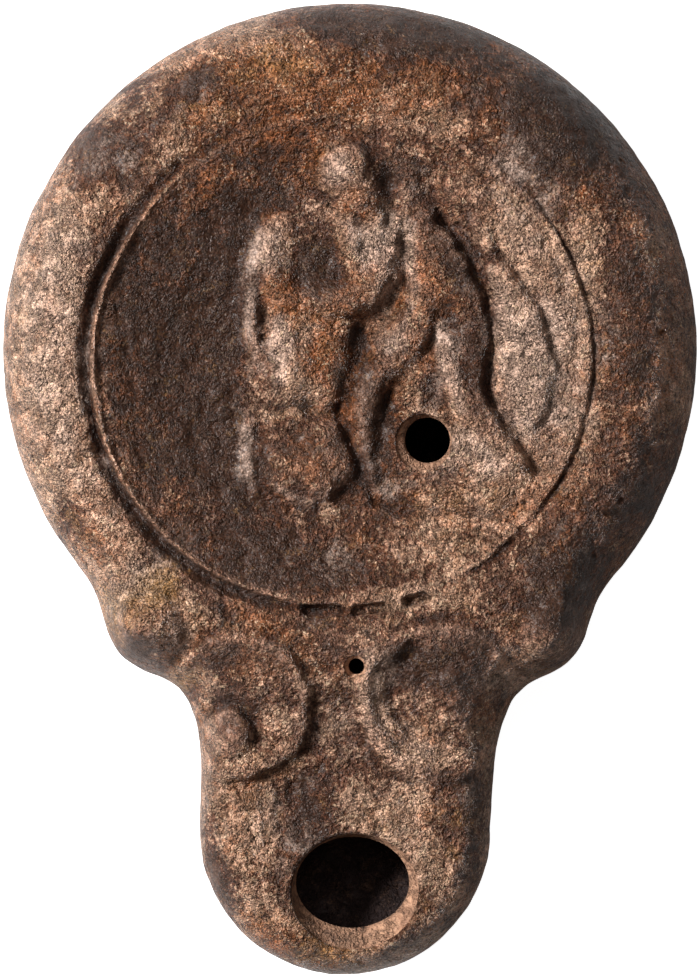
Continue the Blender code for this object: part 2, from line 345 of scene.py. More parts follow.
def valley_depth(x: Array, y: Array, valley: Valley) -> Array:
    """Finds the depth of one valley.

    Args:
        x: The points' X.
        y: Their Y.
        valley: The valley.

    Returns:
        The depths.
    """
    rows = flowing(valley.points, 4)
    near = near_rows(x, y, rows, valley.half_width * 3)
    nearest = np.full_like(x[near], np.inf)
    for start, end in zip(rows[:-1], rows[1:]):
        nearest = np.minimum(nearest, along_line(x[near], y[near], start, end)[0])
    depth = np.zeros_like(x)
    depth[near] = valley.depth * bell(nearest, valley.half_width)
    return depth


@dataclass(frozen=True)
class Picture:
    """The relief on the disc: two figures who embrace on a rock, with drapery behind the right one."""

    blend: float = 0.5
    depth: float = 1.7
    strays: tuple[Stray, ...] = (Stray(0.22, 4.2, (3, 8)), Stray(0.22 * 0.4, 1.7, (4, 9)))
    ground: tuple[Ridge, ...] = (
        Ridge(((7.6, -11.6, 6.2, 0.8), (11.6, -12.6, 6.4, 0.9), (16.0, -12.4, 6.4, 0.9)), 0.7),
        Ridge(((17.8, 8.8, 1.5, 1.0), (19.4, 4.6, 3.2, 1.3), (20.6, -0.8, 4.0, 1.3), (20.4, -6.0, 3.4, 1.1)),
              0.6),
        Ridge(((12.6, 18.4, 2.4, 0.6), (18.8, 13.8, 2.8, 0.7), (23.2, 8.0, 2.2, 0.6), (25.2, 1.0, 1.8, 0.4)),
              0.6),
        Ridge(((15.0, 15.2, 1.1, 0.7), (16.4, 12.2, 1.2, 0.9)), 0.7),
    )
    right_figure: tuple[Ridge, ...] = (
        Ridge(((8.8, -1.6, 2.4, 0.8), (7.4, -5.4, 3.0, 0.8)), 0.8),
        Ridge(((4.6, 22.4, 2.9, 0.7), (5.8, 20.8, 3.0, 0.8), (6.6, 18.2, 2.1, 0.7)), 0.9),
        Ridge(((8.2, 14.8, 2.5, 1.1), (9.1, 10.8, 3.4, 1.5), (9.2, 6.0, 3.5, 1.6), (7.0, 1.8, 3.2, 1.5)),
              0.8),
        Ridge(((11.4, 12.4, 2.7, 1.0), (12.4, 8.2, 3.6, 1.2), (13.2, 3.4, 3.8, 1.2), (13.6, -1.4, 3.1, 1.2),
               (14.6, -5.0, 2.2, 1.2)), 0.8),
        Ridge(((6.8, 1.6, 2.8, 1.5), (4.0, -1.6, 2.7, 1.3), (2.2, -5.0, 2.3, 1.2),
               (1.7, -9.0, 2.0, 1.1), (1.9, -12.6, 1.5, 0.8), (2.7, -16.0, 0.8, 0.5)), 0.8),
        Ridge(((10.8, 2.8, 1.2, 1.3), (11.6, -1.2, 2.0, 1.6), (12.9, -5.2, 2.4, 1.6),
               (15.4, -9.0, 3.1, 1.5), (18.9, -13.0, 2.6, 1.1)), 0.75),
    )
    left_figure: tuple[Ridge, ...] = (
        Ridge(((-6.4, 12.2, 4.8, 0.95), (-4.0, 8.6, 5.0, 0.9)), 0.9),
        Ridge(((-0.2, 20.9, 3.8, 1.8), (1.0, 18.3, 3.3, 1.5)), 0.75),
        Ridge(((2.0, 16.2, 1.5, 1.0),), 0.8),
        Ridge(((2.6, 21.4, 2.4, 0.9), (3.2, 18.6, 2.2, 0.9)), 0.8),
        Ridge(((-8.2, 14.4, 2.6, 1.0), (-9.2, 11.6, 3.5, 1.4), (-9.2, 8.6, 3.5, 1.4), (-8.2, 6.4, 3.2, 1.2)),
              1.0),
        Ridge(((-11.6, 8.2, 1.4, 0.9), (-11.7, 4.6, 1.4, 1.0), (-11.2, 1.2, 1.4, 1.0),
               (-10.0, -1.8, 1.8, 1.0), (-8.0, -4.6, 2.2, 0.8)), 0.7),
        Ridge(((-7.4, 6.2, 2.8, 1.2), (-3.6, 5.8, 2.8, 1.3), (0.2, 6.6, 2.9, 1.4), (3.0, 8.4, 2.6, 1.4),
               (4.7, 11.0, 2.0, 1.3), (5.4, 14.0, 1.4, 1.0), (5.8, 16.0, 1.0, 0.7)), 0.8),
        Ridge(((-0.4, 14.8, 1.5, 1.0), (0.4, 12.4, 2.1, 1.2), (1.0, 9.8, 2.3, 1.3)), 0.8),
        Ridge(((2.8, 15.0, 1.7, 1.0), (2.9, 11.6, 2.1, 1.2)), 0.8),
        Ridge(((-6.8, 2.4, 4.5, 1.3), (-6.4, -2.2, 4.8, 1.3)), 0.8),
        Ridge(((-3.2, 1.8, 4.6, 1.1), (-3.2, -3.0, 4.3, 1.05)), 0.8),
        Ridge(((-6.4, -12.6, 5.6, 1.1), (-4.4, -12.9, 5.5, 1.35)), 0.7),
        Ridge(((-12.0, -9.2, 1.4, 0.6), (-11.8, -13.0, 1.3, 0.6), (-11.3, -16.6, 0.7, 0.4)), 0.8),
        Ridge(((-8.8, -16.2, 0.7, 0.4), (-6.4, -17.6, 0.9, 0.7), (-4.6, -18.3, 0.6, 0.5)), 0.8),
    )
    valleys: tuple[Valley, ...] = (
        Valley(((11.0, 15.4), (13.0, 12.4), (14.7, 9.4), (15.8, 6.6), (16.6, 3.6), (16.9, 0.6), (16.3, -2.4)),
               0.42, 0.5),
        Valley(((16.3, -2.4), (16.1, -4.8), (17.5, -7.4), (19.5, -10.0), (21.3, -13.0), (22.6, -15.2)),
               0.5, 0.6),
        Valley(((-9.2, 5.2), (-6.4, 4.6), (-2.8, 3.9), (0.4, 3.8)), 0.34, 0.16),
        Valley(((6.3, 12.4), (6.4, 10.0), (6.2, 7.6), (5.3, 5.6), (3.5, 4.2)), 0.22, 0.3),
        Valley(((3.5, 4.2), (1.6, 2.9), (0.6, 2.0)), 0.6, 0.4),
        Valley(((1.2, 1.8), (0.3, -1.2), (-0.6, -4.2), (-1.4, -6.8)), 0.8, 0.15),
        Valley(((-1.4, -6.8), (-0.4, -9.6), (1.0, -12.8), (2.2, -15.8), (2.9, -18.2)), 0.5, 0.45),
        Valley(((10.4, 2.8), (9.2, -0.2), (7.2, -2.8), (5.2, -4.6), (4.3, -6.4), (3.9, -9.4), (3.6, -12.0)),
               0.4, 0.15),
        Valley(((-9.6, 5.4), (-10.2, 2.4), (-9.9, 0.0)), 0.25, 0.3),
        Valley(((-7.9, 3.6), (-7.9, 0.8), (-8.2, -2.2)), 0.22, 0.12),
        Valley(((-6.3, 3.4), (-6.1, 0.0), (-6.3, -3.4)), 0.22, 0.12),
        Valley(((-4.7, 3.0), (-4.4, -1.0)), 0.22, 0.1),
        Valley(((17.6, 11.6), (19.6, 9.2), (21.2, 6.6), (22.7, 4.6), (23.5, 2.0), (23.9, -0.6)), 0.3, 0.3),
        Valley(((3.8, -17.8), (6.2, -19.4), (10.0, -19.3), (17.0, -19.7)), 0.4, 0.3),
        Valley(((4.4, 20.6), (4.5, 18.8)), 0.7, 0.25),
        Valley(((-6.0, 14.0), (-4.6, 11.6), (-1.8, 8.8)), 1.4, 0.3),
        Valley(((-5.0, -7.0), (-2.2, -7.8)), 0.9, 0.25),
    )

    def height(self, x: Array, y: Array) -> Array:
        """Finds how far the relief stands over the bare disc.

        Args:
            x: The points' X.
            y: Their Y.

        Returns:
            The heights.
        """
        for stray in self.strays:
            x, y = stray.move(x, y)
        height = np.full_like(x, -self.blend)
        for ridge in (*self.ground, *self.right_figure, *self.left_figure):
            height = soft_max(height, ridge_height(x, y, ridge), self.blend)
        height = soft_max(height, np.zeros_like(x), self.blend)
        for valley in self.valleys:
            height = height - valley_depth(x, y, valley)
        return height * self.depth


class Scroll(NamedTuple):
    """A raised round beside the nozzle's root. Its soft edge runs from inside its radius to outside it."""

    middle: Place
    radius: float
    height: float
    inside: float
    outside: float

    def rise(self, x: Array, y: Array) -> Array:
        """How far it stands over the nozzle's top."""
        low, high = self.radius - self.inside, self.radius + self.outside
        return self.height * (1 - ramp(low, high, from_circle(x, y, self.middle, 0)))


@dataclass(frozen=True)
class Volutes:
    """The two scrolls where the nozzle leaves the shoulder, and the knobs in and beside them."""

    left: Scroll = Scroll((-13.2, -42.0), 8.7, 1.1, 0.7, 0.6)
    right: Scroll = Scroll((10.8, -41.6), 9.4, 0.75, 0.8, 0.7)
    stray: Stray = Stray(0.25, 5.0, (5, 6))
    ridges: tuple[Ridge, ...] = (
        Ridge(((-14.2, -45.2, 3.0, 1.0),), 0.6),
        Ridge(((3.9, -34.0, 1.2, 0.5), (1.9, -37.4, 1.3, 0.9), (1.5, -41.4, 1.3, 1.0), (2.8, -45.4, 1.3, 0.9),
               (5.8, -48.9, 1.3, 0.6), (9.8, -50.4, 1.3, 0.4)), 0.7),
        Ridge(((13.0, -40.8, 4.2, 0.8),), 0.8),
        Ridge(((-24.3, -32.9, 5.0, 2.0),), 1.0),
        Ridge(((24.0, -33.0, 4.2, 1.3),), 0.7),
    )
    folds: tuple[Valley, ...] = (
        Valley(((-17.4, -43.4), (-15.9, -42.1), (-13.6, -41.9), (-11.8, -43.2), (-11.0, -46.0)), 0.75, 0.85),
        Valley(((7.6, -35.2), (5.4, -38.4), (5.2, -41.8), (7.0, -45.2)), 1.2, 0.85),
        Valley(((-21.0, -29.8), (-19.4, -33.4), (-20.6, -36.8)), 0.9, 0.3),
        Valley(((2.5, -33.6), (6.0, -32.6), (9.5, -31.9), (13.0, -31.0)), 0.55, 0.5),
        Valley(((19.4, -36.0), (17.6, -38.6), (17.6, -42.0)), 0.9, 0.4),
        Valley(((-15.0, -30.4), (-14.8, -32.8)), 0.35, 0.5),
        Valley(((-10.4, -52.0), (-9.8, -58.6)), 0.3, 0.4),
        Valley(((-8.7, -51.4), (-7.9, -58.4)), 0.32, 0.42),
        Valley(((-7.0, -51.0), (-6.0, -57.2)), 0.3, 0.4),
        Valley(((-5.2, -50.8), (-4.5, -55.4)), 0.28, 0.36),
        Valley(((-14.6, -51.6), (-15.4, -57.8), (-14.6, -62.0)), 0.9, 0.35),
    )

    def height(self, x: Array, y: Array) -> Array:
        """Finds how far scrolls and knobs stand over the nozzle's top.

        Args:
            x: The points' X.
            y: Their Y.

        Returns:
            The heights.
        """
        x, y = self.stray.move(x, y)
        height = np.maximum(self.left.rise(x, y), self.right.rise(x, y))
        for ridge in self.ridges:
            height = height + np.maximum(ridge_height(x, y, ridge), 0)
        for fold in self.folds:
            height = height - valley_depth(x, y, fold)
        return height


class HeightField:
    """Heights on a fine grid over the plan, which can be softened as wear softens clay."""

    def __init__(self, low: Place, high: Place, step: float, height: PlanFunction) -> None:
        """Fills the grid.

        Args:
            low: The corner with the least X and Y.
            high: The other corner.
            step: The grid's spacing.
            height: The height at each point.
        """
        self.low, self.step = low, step
        self.xs = np.arange(low[0], high[0] + step, step)
        self.ys = np.arange(low[1], high[1] + step, step)
        self.z = height(*np.meshgrid(self.xs, self.ys))

    def softened(self, radius: float) -> "HeightField":
        """Blurs the heights.

        Args:
            radius: Over about how far.

        Returns:
            A new field.
        """
        reach = int(3 * radius / self.step)
        kernel = bell(np.arange(-reach, reach + 1) * self.step, radius * math.sqrt(2))
        kernel /= kernel.sum()
        padded = np.pad(self.z, reach, mode="edge")
        padded = sum(k * padded[i : i + len(self.ys)] for i, k in enumerate(kernel))
        blurred = copy.copy(self)
        blurred.z = sum(k * padded[:, i : i + len(self.xs)] for i, k in enumerate(kernel))
        return blurred

    def at(self, x: Array, y: Array) -> Array:
        """Reads the field between its grid points.

        Args:
            x: The points' X.
            y: Their Y.

        Returns:
            The heights.
        """
        column = np.clip((x - self.low[0]) / self.step, 0, len(self.xs) - 1.001)
        row = np.clip((y - self.low[1]) / self.step, 0, len(self.ys) - 1.001)
        i, j = column.astype(int), row.astype(int)
        u, v = column - i, row - j
        lower = self.z[j, i] * (1 - u) + self.z[j, i + 1] * u
        upper = self.z[j + 1, i] * (1 - u) + self.z[j + 1, i + 1] * u
        return lower * (1 - v) + upper * v


@dataclass(frozen=True)
class Ring:
    """The worn moulding round the disc: a ridge with a groove outside it on the left, and a cut on the right.

    Turns are directions from its middle, in degrees, and radii are the ridge's at some turns. The ridge shows
    fully between the middle two of its turns, and the cut from its second turn on to its third.
    """

    middle: Place = (-0.6, -0.9)
    radii: tuple[Place, ...] = (
        (0, 28.9), (20, 28.6), (40, 28.5), (90, 28.7), (125, 28.8), (145, 28.9), (165, 29.5), (185, 29.8),
        (225, 29.8), (245, 29.4), (260, 29.2), (300, 28.7), (330, 28.7),
    )
    waver: float = 0.06
    ridge_turns: tuple[float, ...] = (118, 165, 240, 268)
    ridge_half_width: float = 0.3
    ridge_height: float = 0.7
    faint_ridge: float = 0.15
    groove_start: Place = (0.15, 0.6)
    groove_end: Place = (1.0, 2.3)
    groove_depth: float = 0.85
    faint_groove: float = 0.08
    cut_turns: tuple[float, ...] = (292, 315, 34, 52)
    cut_place: float = 0.68
    cut_half_width: float = 0.27
    cut_depth: float = 0.66
    faint_cut: float = 0.1

    def crest(self, angle: Array) -> Array:
        """The ridge's radius in each direction, which wavers a little."""
        radius = np.interp(np.degrees(angle) % 360, *zip(*self.radii), period=360)
        return radius + self.waver * np.sin(11 * angle)

    def off(self, x: Array, y: Array) -> Places:
        """Each point's direction from the middle, and how far outside the ridge's line it lies."""
        angle = np.arctan2(y - self.middle[1], x - self.middle[0])
        return angle, from_circle(x, y, self.middle, 0) - self.crest(angle)

    def parts(self, x: Array, y: Array) -> tuple[Array, Array, Array]:
        """Measures how strongly the moulding shows, from 0 to 1.

        Args:
            x: The points' X.
            y: Their Y.

        Returns:
            The ridge, the groove and the cut.
        """
        angle, off = self.off(x, y)
        turn = np.degrees(angle) % 360
        left = ramp(*self.ridge_turns[:2], turn) * (1 - ramp(*self.ridge_turns[2:], turn))
        right = np.maximum(ramp(*self.cut_turns[:2], turn), 1 - ramp(*self.cut_turns[2:], turn))
        uneven = 0.75 + 0.35 * np.sin(9 * angle) * np.sin(23 * angle + 1)
        ridge = (self.faint_ridge + (1 - self.faint_ridge) * left) * bell(off, self.ridge_half_width)
        groove = (self.faint_groove + (1 - self.faint_groove) * left) * ramp(*self.groove_start, off)
        cut = self.faint_cut + (1 - self.faint_cut) * right * uneven
        cut *= bell(off - self.cut_place, self.cut_half_width)
        return ridge, groove * (1 - ramp(*self.groove_end, off)), cut

    def relief(self, x: Array, y: Array) -> Array:
        """The moulding's height over the plain top."""
        ridge, groove, cut = self.parts(x, y)
        return self.ridge_height * ridge - self.groove_depth * groove - self.cut_depth * cut


@dataclass
class LampForm:
    """The heights of every surface of the lamp, over its plan."""

    outline: Outline
    seam: float = 15.5
    shoulder: float = 25.5
    disc: float = 21.2
    nozzle: float = 22.5
    tip_rise: float = 9.2
    bowl_fullness: float = 0.65
    base_radius: float = 21.6
    base_step: float = 0.6
    base_edge: float = 0.35
    keel_narrowing: float = 6.5
    wall: float = 3.2
    roof: float = 2.8
    floor: float = 3.0
    lug_depth: float = 4.0
    shoulder_width: float = 8.2
    nozzle_edge_width: float = 3.9
    disc_edge: float = 28.6
    bowl_rise: float = 3.8
    bowl_power: float = 2.3
    ring_slope: Place = (-0.3, 4.5)
    picture_fade: Place = (-2.4, -0.2)
    volute_fade: Place = (1.9, 4.6)
    nozzle_fade: Place = (2, 8)
    nozzle_start: Place = (33, 45)
    narrow_start: Place = (38, 50)
    keel_start: Place = (20, 66)
    grid_step: float = 0.15
    softness: float = 0.12
    margin: float = 2.0
    ring: Ring = Ring()
    picture: Picture = Picture()
    volutes: Volutes = Volutes()

    def __post_init__(self) -> None:
        """Works out the carved and the plain top once, on a grid."""
        side = self.outline.body_radius + self.margin
        low, high = (-side, self.outline.tip - self.margin), (side, side)
        self.carved = HeightField(low, high, self.grid_step, self.carved_crown).softened(self.softness)

    def past_disc(self, span: Place, x: Array, y: Array) -> Array:
        """A smooth step from 0 to 1 over a span outside the disc's edge."""
        start, end = self.disc_edge + span[0], self.disc_edge + span[1]
        return ramp(start, end, from_circle(x, y, self.ring.middle, 0))

    def crown(self, x: Array, y: Array, ring: bool = True) -> Array:
        """The bare top: sunk disc, ridge, groove, shoulder and nozzle, away from the rounded edge.

        Args:
            x: The points' X.
            y: Their Y.
            ring: Whether the thin ridge and groove round the disc are carved.

        Returns:
            The heights.
        """
        rise = self.shoulder - self.disc
        share = np.clip(from_circle(x, y, self.ring.middle, 0) / self.disc_edge, 0, 1)
        bowl = self.bowl_rise * share**self.bowl_power
        height = self.disc + bowl + (rise - bowl) * ramp(*self.ring_slope, self.ring.off(x, y)[1])
        if ring:
            height += self.ring.relief(x, y)
        on_nozzle = ramp(*self.nozzle_start, -y) * self.past_disc(self.nozzle_fade, x, y)
        return height + (self.nozzle - height) * on_nozzle

    def carved_crown(self, x: Array, y: Array) -> Array:
        """Finds the top with its picture and volutes, away from the rounded edge.

        Args:
            x: The points' X.
            y: Their Y.

        Returns:
            The heights.
        """
        picture = self.picture.height(x, y) * (1 - self.past_disc(self.picture_fade, x, y))
        volutes = self.volutes.height(x, y) * self.past_disc(self.volute_fade, x, y)
        return self.crown(x, y) + picture + volutes

    def edge_width(self, x: Array, y: Array) -> Array:
        """How wide the rounded edge of the top is: narrower along the nozzle and round the lugs."""
        narrow = np.maximum(ramp(*self.narrow_start, -y), self.outline.near_lugs(x, y))
        return self.shoulder_width + (self.nozzle_edge_width - self.shoulder_width) * narrow

    def top(self, x: Array, y: Array) -> Array:
        """The lamp's upper surface."""
        edge = quarter_round(-self.outline.whole(x, y) / self.edge_width(x, y))
        return self.seam + (self.carved.at(x, y) - self.seam) * edge

    def ceiling(self, x: Array, y: Array) -> Array:
        """The cavity's upper surface."""
        edge = quarter_round((-self.outline.hull(x, y) - self.wall) / self.edge_width(x, y))
        return self.seam + (self.crown(x, y, ring=False) - self.roof - self.seam) * edge

    def bowl(self, x: Array, y: Array, wall: float, floor: float) -> Array:
        """Finds the bowl under the body and the keel under the nozzle.

        Args:
            x: The points' X.
            y: Their Y.
            wall: How thick a wall of clay is left off at the side.
            floor: How thick a floor is left off below.

        Returns:
            The heights.
        """
        on_nozzle = ramp(*self.keel_start, -y)
        width = (self.outline.body_radius - self.base_radius) - self.keel_narrowing * on_nozzle
        drop = self.seam - floor - self.tip_rise * on_nozzle
        share = (-self.outline.hull(x, y) - wall) / width
        return self.seam - drop * quarter_round(share, self.bowl_fullness)

    def underside(self, x: Array, y: Array) -> Array:
        """Finds the lamp's lower surface, with its flat base a step proud of the bowl.

        Args:
            x: The points' X.
            y: Their Y.

        Returns:
            The heights.
        """
        under_lugs = self.seam - self.lug_depth * quarter_round(-self.outline.whole(x, y) / self.lug_depth)
        surface = np.minimum(self.bowl(x, y, 0, self.base_step), under_lugs)
        return surface * ramp(0, self.base_edge, from_circle(x, y, ORIGIN, self.base_radius))

    def well(self, x: Array, y: Array) -> Array:
        """The cavity's floor."""
        return self.bowl(x, y, self.wall, self.floor)


class Hole(NamedTuple):
    """A hole through the top: an oval rim, a slope down to an oval throat, and an upright wall below it.

    Slope is how far it goes down between the two, and lip the radius of the rolled edge round the rim.
    """

    rim: Place
    rim_radii: Place
    throat: Place
    throat_radii: Place
    slope: float
    sides: int
    lip: float

    def loop(self, share: float, grow: float) -> Places:
        """Draws the hole's outline in plan.

        Args:
            share: Where between rim (0) and throat (1).
            grow: How far it is widened.

        Returns:
            Its X and Y.
        """
        turn = full_turn(self.sides)
        middle = np.array(self.rim) + share * (np.array(self.throat) - self.rim)
        radii = np.array(self.rim_radii) + share * (np.array(self.throat_radii) - self.rim_radii) + grow
        return middle[0] + radii[0] * np.cos(turn), middle[1] + radii[1] * np.sin(turn)

    def clear_of(self, x: Array, y: Array, grow: float) -> Array:
        """Which points lie outside the rim, widened by a margin."""
        across = (x - self.rim[0]) / (self.rim_radii[0] + grow)
        return across**2 + ((y - self.rim[1]) / (self.rim_radii[1] + grow)) ** 2 > 1


# ---- mesh of the lamp


class Side(NamedTuple):
    """One of the shell's four sides: the top, the underside, and the cavity's ceiling and floor.

    Height is its surface over the plan. Bands is how many loops its rounded edge has, and turn how far round
    that edge they go, in degrees of a quarter circle. Wall is 0 outside, or the wall's thickness in the
    cavity. Spacing is that of the points inside the loops, and turned is whether the side faces down.
    """

    height: PlanFunction
    bands: int
    turn: float
    wall: float
    spacing: float
    kind: Clay
    turned: bool

    @property
    def skin(self) -> float:
        """1 outside, where time has worn the clay, and 0 in the cavity."""
        return 0 if self.wall else 1


class ClayMesh:
    """Points and triangles gathered from bands and sheets that share their loops of points."""

    def __init__(self) -> None:
        """Starts an empty mesh."""
        self.blocks: list[Array] = []
        self.skins: list[Array] = []
        self.count = 0
        self.triangles: list[Array] = []
        self.kinds: list[Array] = []

    def add(self, x: Array, y: Array, z: Array, skin: float = 1) -> Array:
        """Adds points.

        Args:
            x: Their X.
            y: Their Y.
            z: Their Z, or one Z for all of them.
            skin: 1 on the outside, where time has worn the clay, and 0 where it has not.

        Returns:
            The points' numbers.
        """
        self.blocks.append(np.stack((x, y, np.broadcast_to(z, x.shape)), axis=1))
        self.skins.append(np.full(len(x), skin, float))
        self.count += len(x)
        return np.arange(self.count - len(x), self.count)

    def places(self) -> Array:
        """All points so far."""
        return np.concatenate(self.blocks)

    def face(self, triangles: Array, kind: Clay, turned: bool) -> None:
        """Adds triangles, turned over where their other side faces out."""
        self.triangles.append(triangles[:, ::-1] if turned else triangles)
        self.kinds.append(np.full(len(triangles), kind.value))

    def bands(self, loops: Sequence[Array], kind: Clay, turned: bool = False) -> None:
        """Joins each loop to the next one, which has as many points.

        Args:
            loops: The loops, by their points' numbers.
            kind: The clay of the bands.
            turned: Whether they face the other way.
        """
        for first, second in zip(loops[:-1], loops[1:]):
            after_first, after_second = np.roll(first, -1), np.roll(second, -1)
            self.face(np.stack((first, after_first, after_second), axis=1), kind, turned)
            self.face(np.stack((first, after_second, second), axis=1), kind, turned)

    def sheet(
        self, outer: Array, holes: Sequence[Array], creases: Sequence[Array], inner: Places, side: Side
    ) -> None:
        """Fills the area inside a loop with triangles over the plan, and leaves its holes open.

        Args:
            outer: The loop round the sheet, by its points' numbers.
            holes: The loops of the holes.
            creases: Loops that the triangles follow.
            inner: X and Y of the points to use between the loops.
            side: The side that the sheet belongs to.
        """
        loops = [outer, *holes, *creases]
        rim = np.concatenate(loops)
        plan = [Vector(place[:2]) for place in self.places()[rim]] + [Vector(place) for place in zip(*inner)]
        edges, start = [], 0
        for loop in loops:
            edges += [(start + i, start + (i + 1) % len(loop)) for i in range(len(loop))]
            start += len(loop)
        found = delaunay_2d_cdt(plan, edges, [], 1, 1e-9)
        numbers = np.concatenate((rim, self.add(*inner, side.height(*inner), side.skin)))
        triangles = numbers[np.array([sources[0] for sources in found[3]])[np.array(found[2])]]
        for loop in holes:
            triangles = triangles[~np.isin(triangles, loop).all(axis=1)]
        self.face(triangles, side.kind, side.turned)

    def to_object(self, name: str) -> bpy.types.Object:
        """Makes the Blender object, smooth shaded, with a material number on each face.

        Args:
            name: Its name.

        Returns:
            The object, in metres.
        """
        places, triangles = self.places() * METRES, np.concatenate(self.triangles)
        mesh = bpy.data.meshes.new(name)
        mesh.vertices.add(len(places))
        mesh.vertices.foreach_set("co", places.ravel())
        mesh.loops.add(triangles.size)
        mesh.loops.foreach_set("vertex_index", triangles.ravel().astype(np.int32))
        mesh.polygons.add(len(triangles))
        mesh.polygons.foreach_set("loop_start", np.arange(0, triangles.size, 3, dtype=np.int32))
        bare = mesh.attributes.new("bare_clay", "BOOLEAN", "FACE")
        bare.data.foreach_set("value", np.concatenate(self.kinds).astype(bool))
        skin = mesh.attributes.new("skin", "FLOAT", "POINT")
        skin.data.foreach_set("value", np.concatenate(self.skins))
        mesh.update(calc_edges=True)
        mesh.validate()
        mesh.shade_smooth()
        obj = bpy.data.objects.new(name, mesh)
        bpy.context.scene.collection.objects.link(obj)
        return obj


def hexagonal_points(low: Place, high: Place, spacing: float) -> Places:
    """Lays points in even triangles over a rectangle.

    Args:
        low: The corner with the least X and Y.
        high: The other corner.
        spacing: The length of the triangles' sides.

    Returns:
        The points' X and Y.
    """
    rows = np.arange(low[1], high[1], spacing * math.sqrt(3) / 2)
    x, y = np.meshgrid(np.arange(low[0], high[0], spacing), rows)
    x = x + (np.arange(len(rows))[:, None] % 2) * spacing / 2
    return x.ravel(), y.ravel()


@dataclass
class LampShell:
    """The whole lamp as one closed mesh: top, underside, cavity and the holes that join them."""

    form: LampForm
    holes: tuple[Hole, ...] = (
        Hole((8.75, -10.9), (3.3, 3.3), (9.15, -10.65), (2.68, 2.68), 0.75, 72, 0.3),
        Hole((0.6, -64.0), (7.5, 6.8), (0.3, -62.95), (6.7, 5.4), 1.7, 132, 0.45),
        Hole((0.65, -37.4), (1.3, 1.3), (0.75, -37.35), (0.95, 0.95), 0.4, 32, 0.2),
    )
    outline_points: int = 640
    top_spacing: float = 0.37
    underside_spacing: float = 1.0
    cavity_spacing: float = 1.7
    top_bands: int = 12
    lower_bands: int = 9
    cavity_bands: int = 5
    ring_points: int = 520
    ring_offsets: tuple[float, ...] = (-0.7, -0.4, -0.2, 0.0, 0.2, 0.42, 0.68, 0.94, 1.25, 1.6, 1.95)
    ring_margin: float = 0.2
    base_points: int = 180
    base_offsets: tuple[float, ...] = (0, 0.12, 0.23, 0.35)
    base_middle: float = 0.17
    base_margin: float = 0.5
    throat_margin: float = 0.4
    lip_turns: tuple[float, ...] = (30, 60, 90)
    lip_skin: float = 0.6
    slope_shares: tuple[float, ...] = (0.25, 0.5, 0.75, 1.0)
    slope_skin: float = 0.5
    tube_shares: tuple[float, ...] = (0.1, 0.5, 1.0)
    mesh: ClayMesh = field(default_factory=ClayMesh)

    def outline(self, side: Side) -> PlanFunction:
        """The outline that a side follows: with the lugs outside, and without them in the cavity."""
        return self.form.outline.hull if side.wall else self.form.outline.whole

    def inset_loop(self, directions: Array, inset: Array, side: Side) -> Places:
        """Points at an inset from a side's outline."""
        return polar(ORIGIN, self.form.outline.reach(directions, inset, self.outline(side)), directions)

    def seam_loop(self, directions: Array, side: Side) -> Array:
        """Adds the loop at the seam's height.

        Args:
            directions: The directions of its points.
            side: The side above it.

        Returns:
            The loop.
        """
        x, y = self.inset_loop(directions, np.full_like(directions, side.wall), side)
        return self.mesh.add(x, y, self.form.seam, side.skin)

    def edge_loops(self, directions: Array, side: Side) -> list[Array]:
        """Adds loops that step in from an outline, closest together where the surface stands upright.

        Args:
            directions: The directions of the points of each loop.
            side: The side that they belong to.

        Returns:
            The new loops, without the one on the outline itself.
        """
        start = self.inset_loop(directions, np.full_like(directions, side.wall), side)
        width = self.form.edge_width(*start)
        loops = []
        for step in range(1, side.bands + 1):
            inset = side.wall + width * (1 - math.cos(math.radians(side.turn * step / side.bands)))
            x, y = self.inset_loop(directions, inset, side)
            loops.append(self.mesh.add(x, y, side.height(x, y), side.skin))
        return loops

    def inner_points(self, loop: Array, side: Side) -> Places:
        """Finds even points inside a loop that runs at a varying inset, about half a space off it.

        Args:
            loop: The loop.
            side: The side to fill.

        Returns:
            The points' X and Y.
        """
        edge = self.mesh.places()[loop]
        x, y = hexagonal_points(edge[:, :2].min(axis=0), edge[:, :2].max(axis=0), side.spacing)
        order = np.argsort(np.arctan2(edge[:, 1], edge[:, 0]))
        angles, radii = np.arctan2(edge[order, 1], edge[order, 0]), np.hypot(edge[order, 0], edge[order, 1])
        limit = np.interp(np.arctan2(y, x), angles, radii, period=2 * math.pi)
        inset = self.outline(side)(x, y)
        keep = (np.hypot(x, y) < limit - side.spacing * 0.45) & (inset < -side.spacing * 0.4)
        return x[keep], y[keep]

    def add_side(
        self,
        seam: Array,
        directions: Array,
        side: Side,
        holes: Sequence[Array] = (),
        creases: Sequence[Places] = (),
        clear: PlanFunction | None = None,
    ) -> None:
        """Adds one whole side: its rounded edge from the seam on, and the sheet inside.

        Args:
            seam: The loop to start from.
            directions: The directions of that loop's points.
            side: The side.
            holes: The loops of its holes.
            creases: Lines for the triangles to follow.
            clear: Which of the points in between to keep, or none to keep them all.
        """
        edge = self.edge_loops(directions, side)
        self.mesh.bands([seam, *edge], side.kind, side.turned)
        x, y = self.inner_points(edge[-1], side)
        if clear:
            keep = clear(x, y)
            x, y = x[keep], y[keep]
        lines = [self.mesh.add(*crease, side.height(*crease)) for crease in creases]
        self.mesh.sheet(edge[-1], holes, lines, (x, y), side)

    def clear_on_top(self, x: Array, y: Array) -> Array:
        """Chooses points on the top that keep off the holes and off the ring round the disc.

        Args:
            x: The points' X.
            y: Their Y.

        Returns:
            Which points to keep.
        """
        off = self.form.ring.off(x, y)[1]
        low, high = self.ring_offsets[0] - self.ring_margin, self.ring_offsets[-1] + self.ring_margin
        keep = (off < low) | (off > high)
        for hole in self.holes:
            keep &= hole.clear_of(x, y, hole.lip + self.top_spacing * 0.5)
        return keep

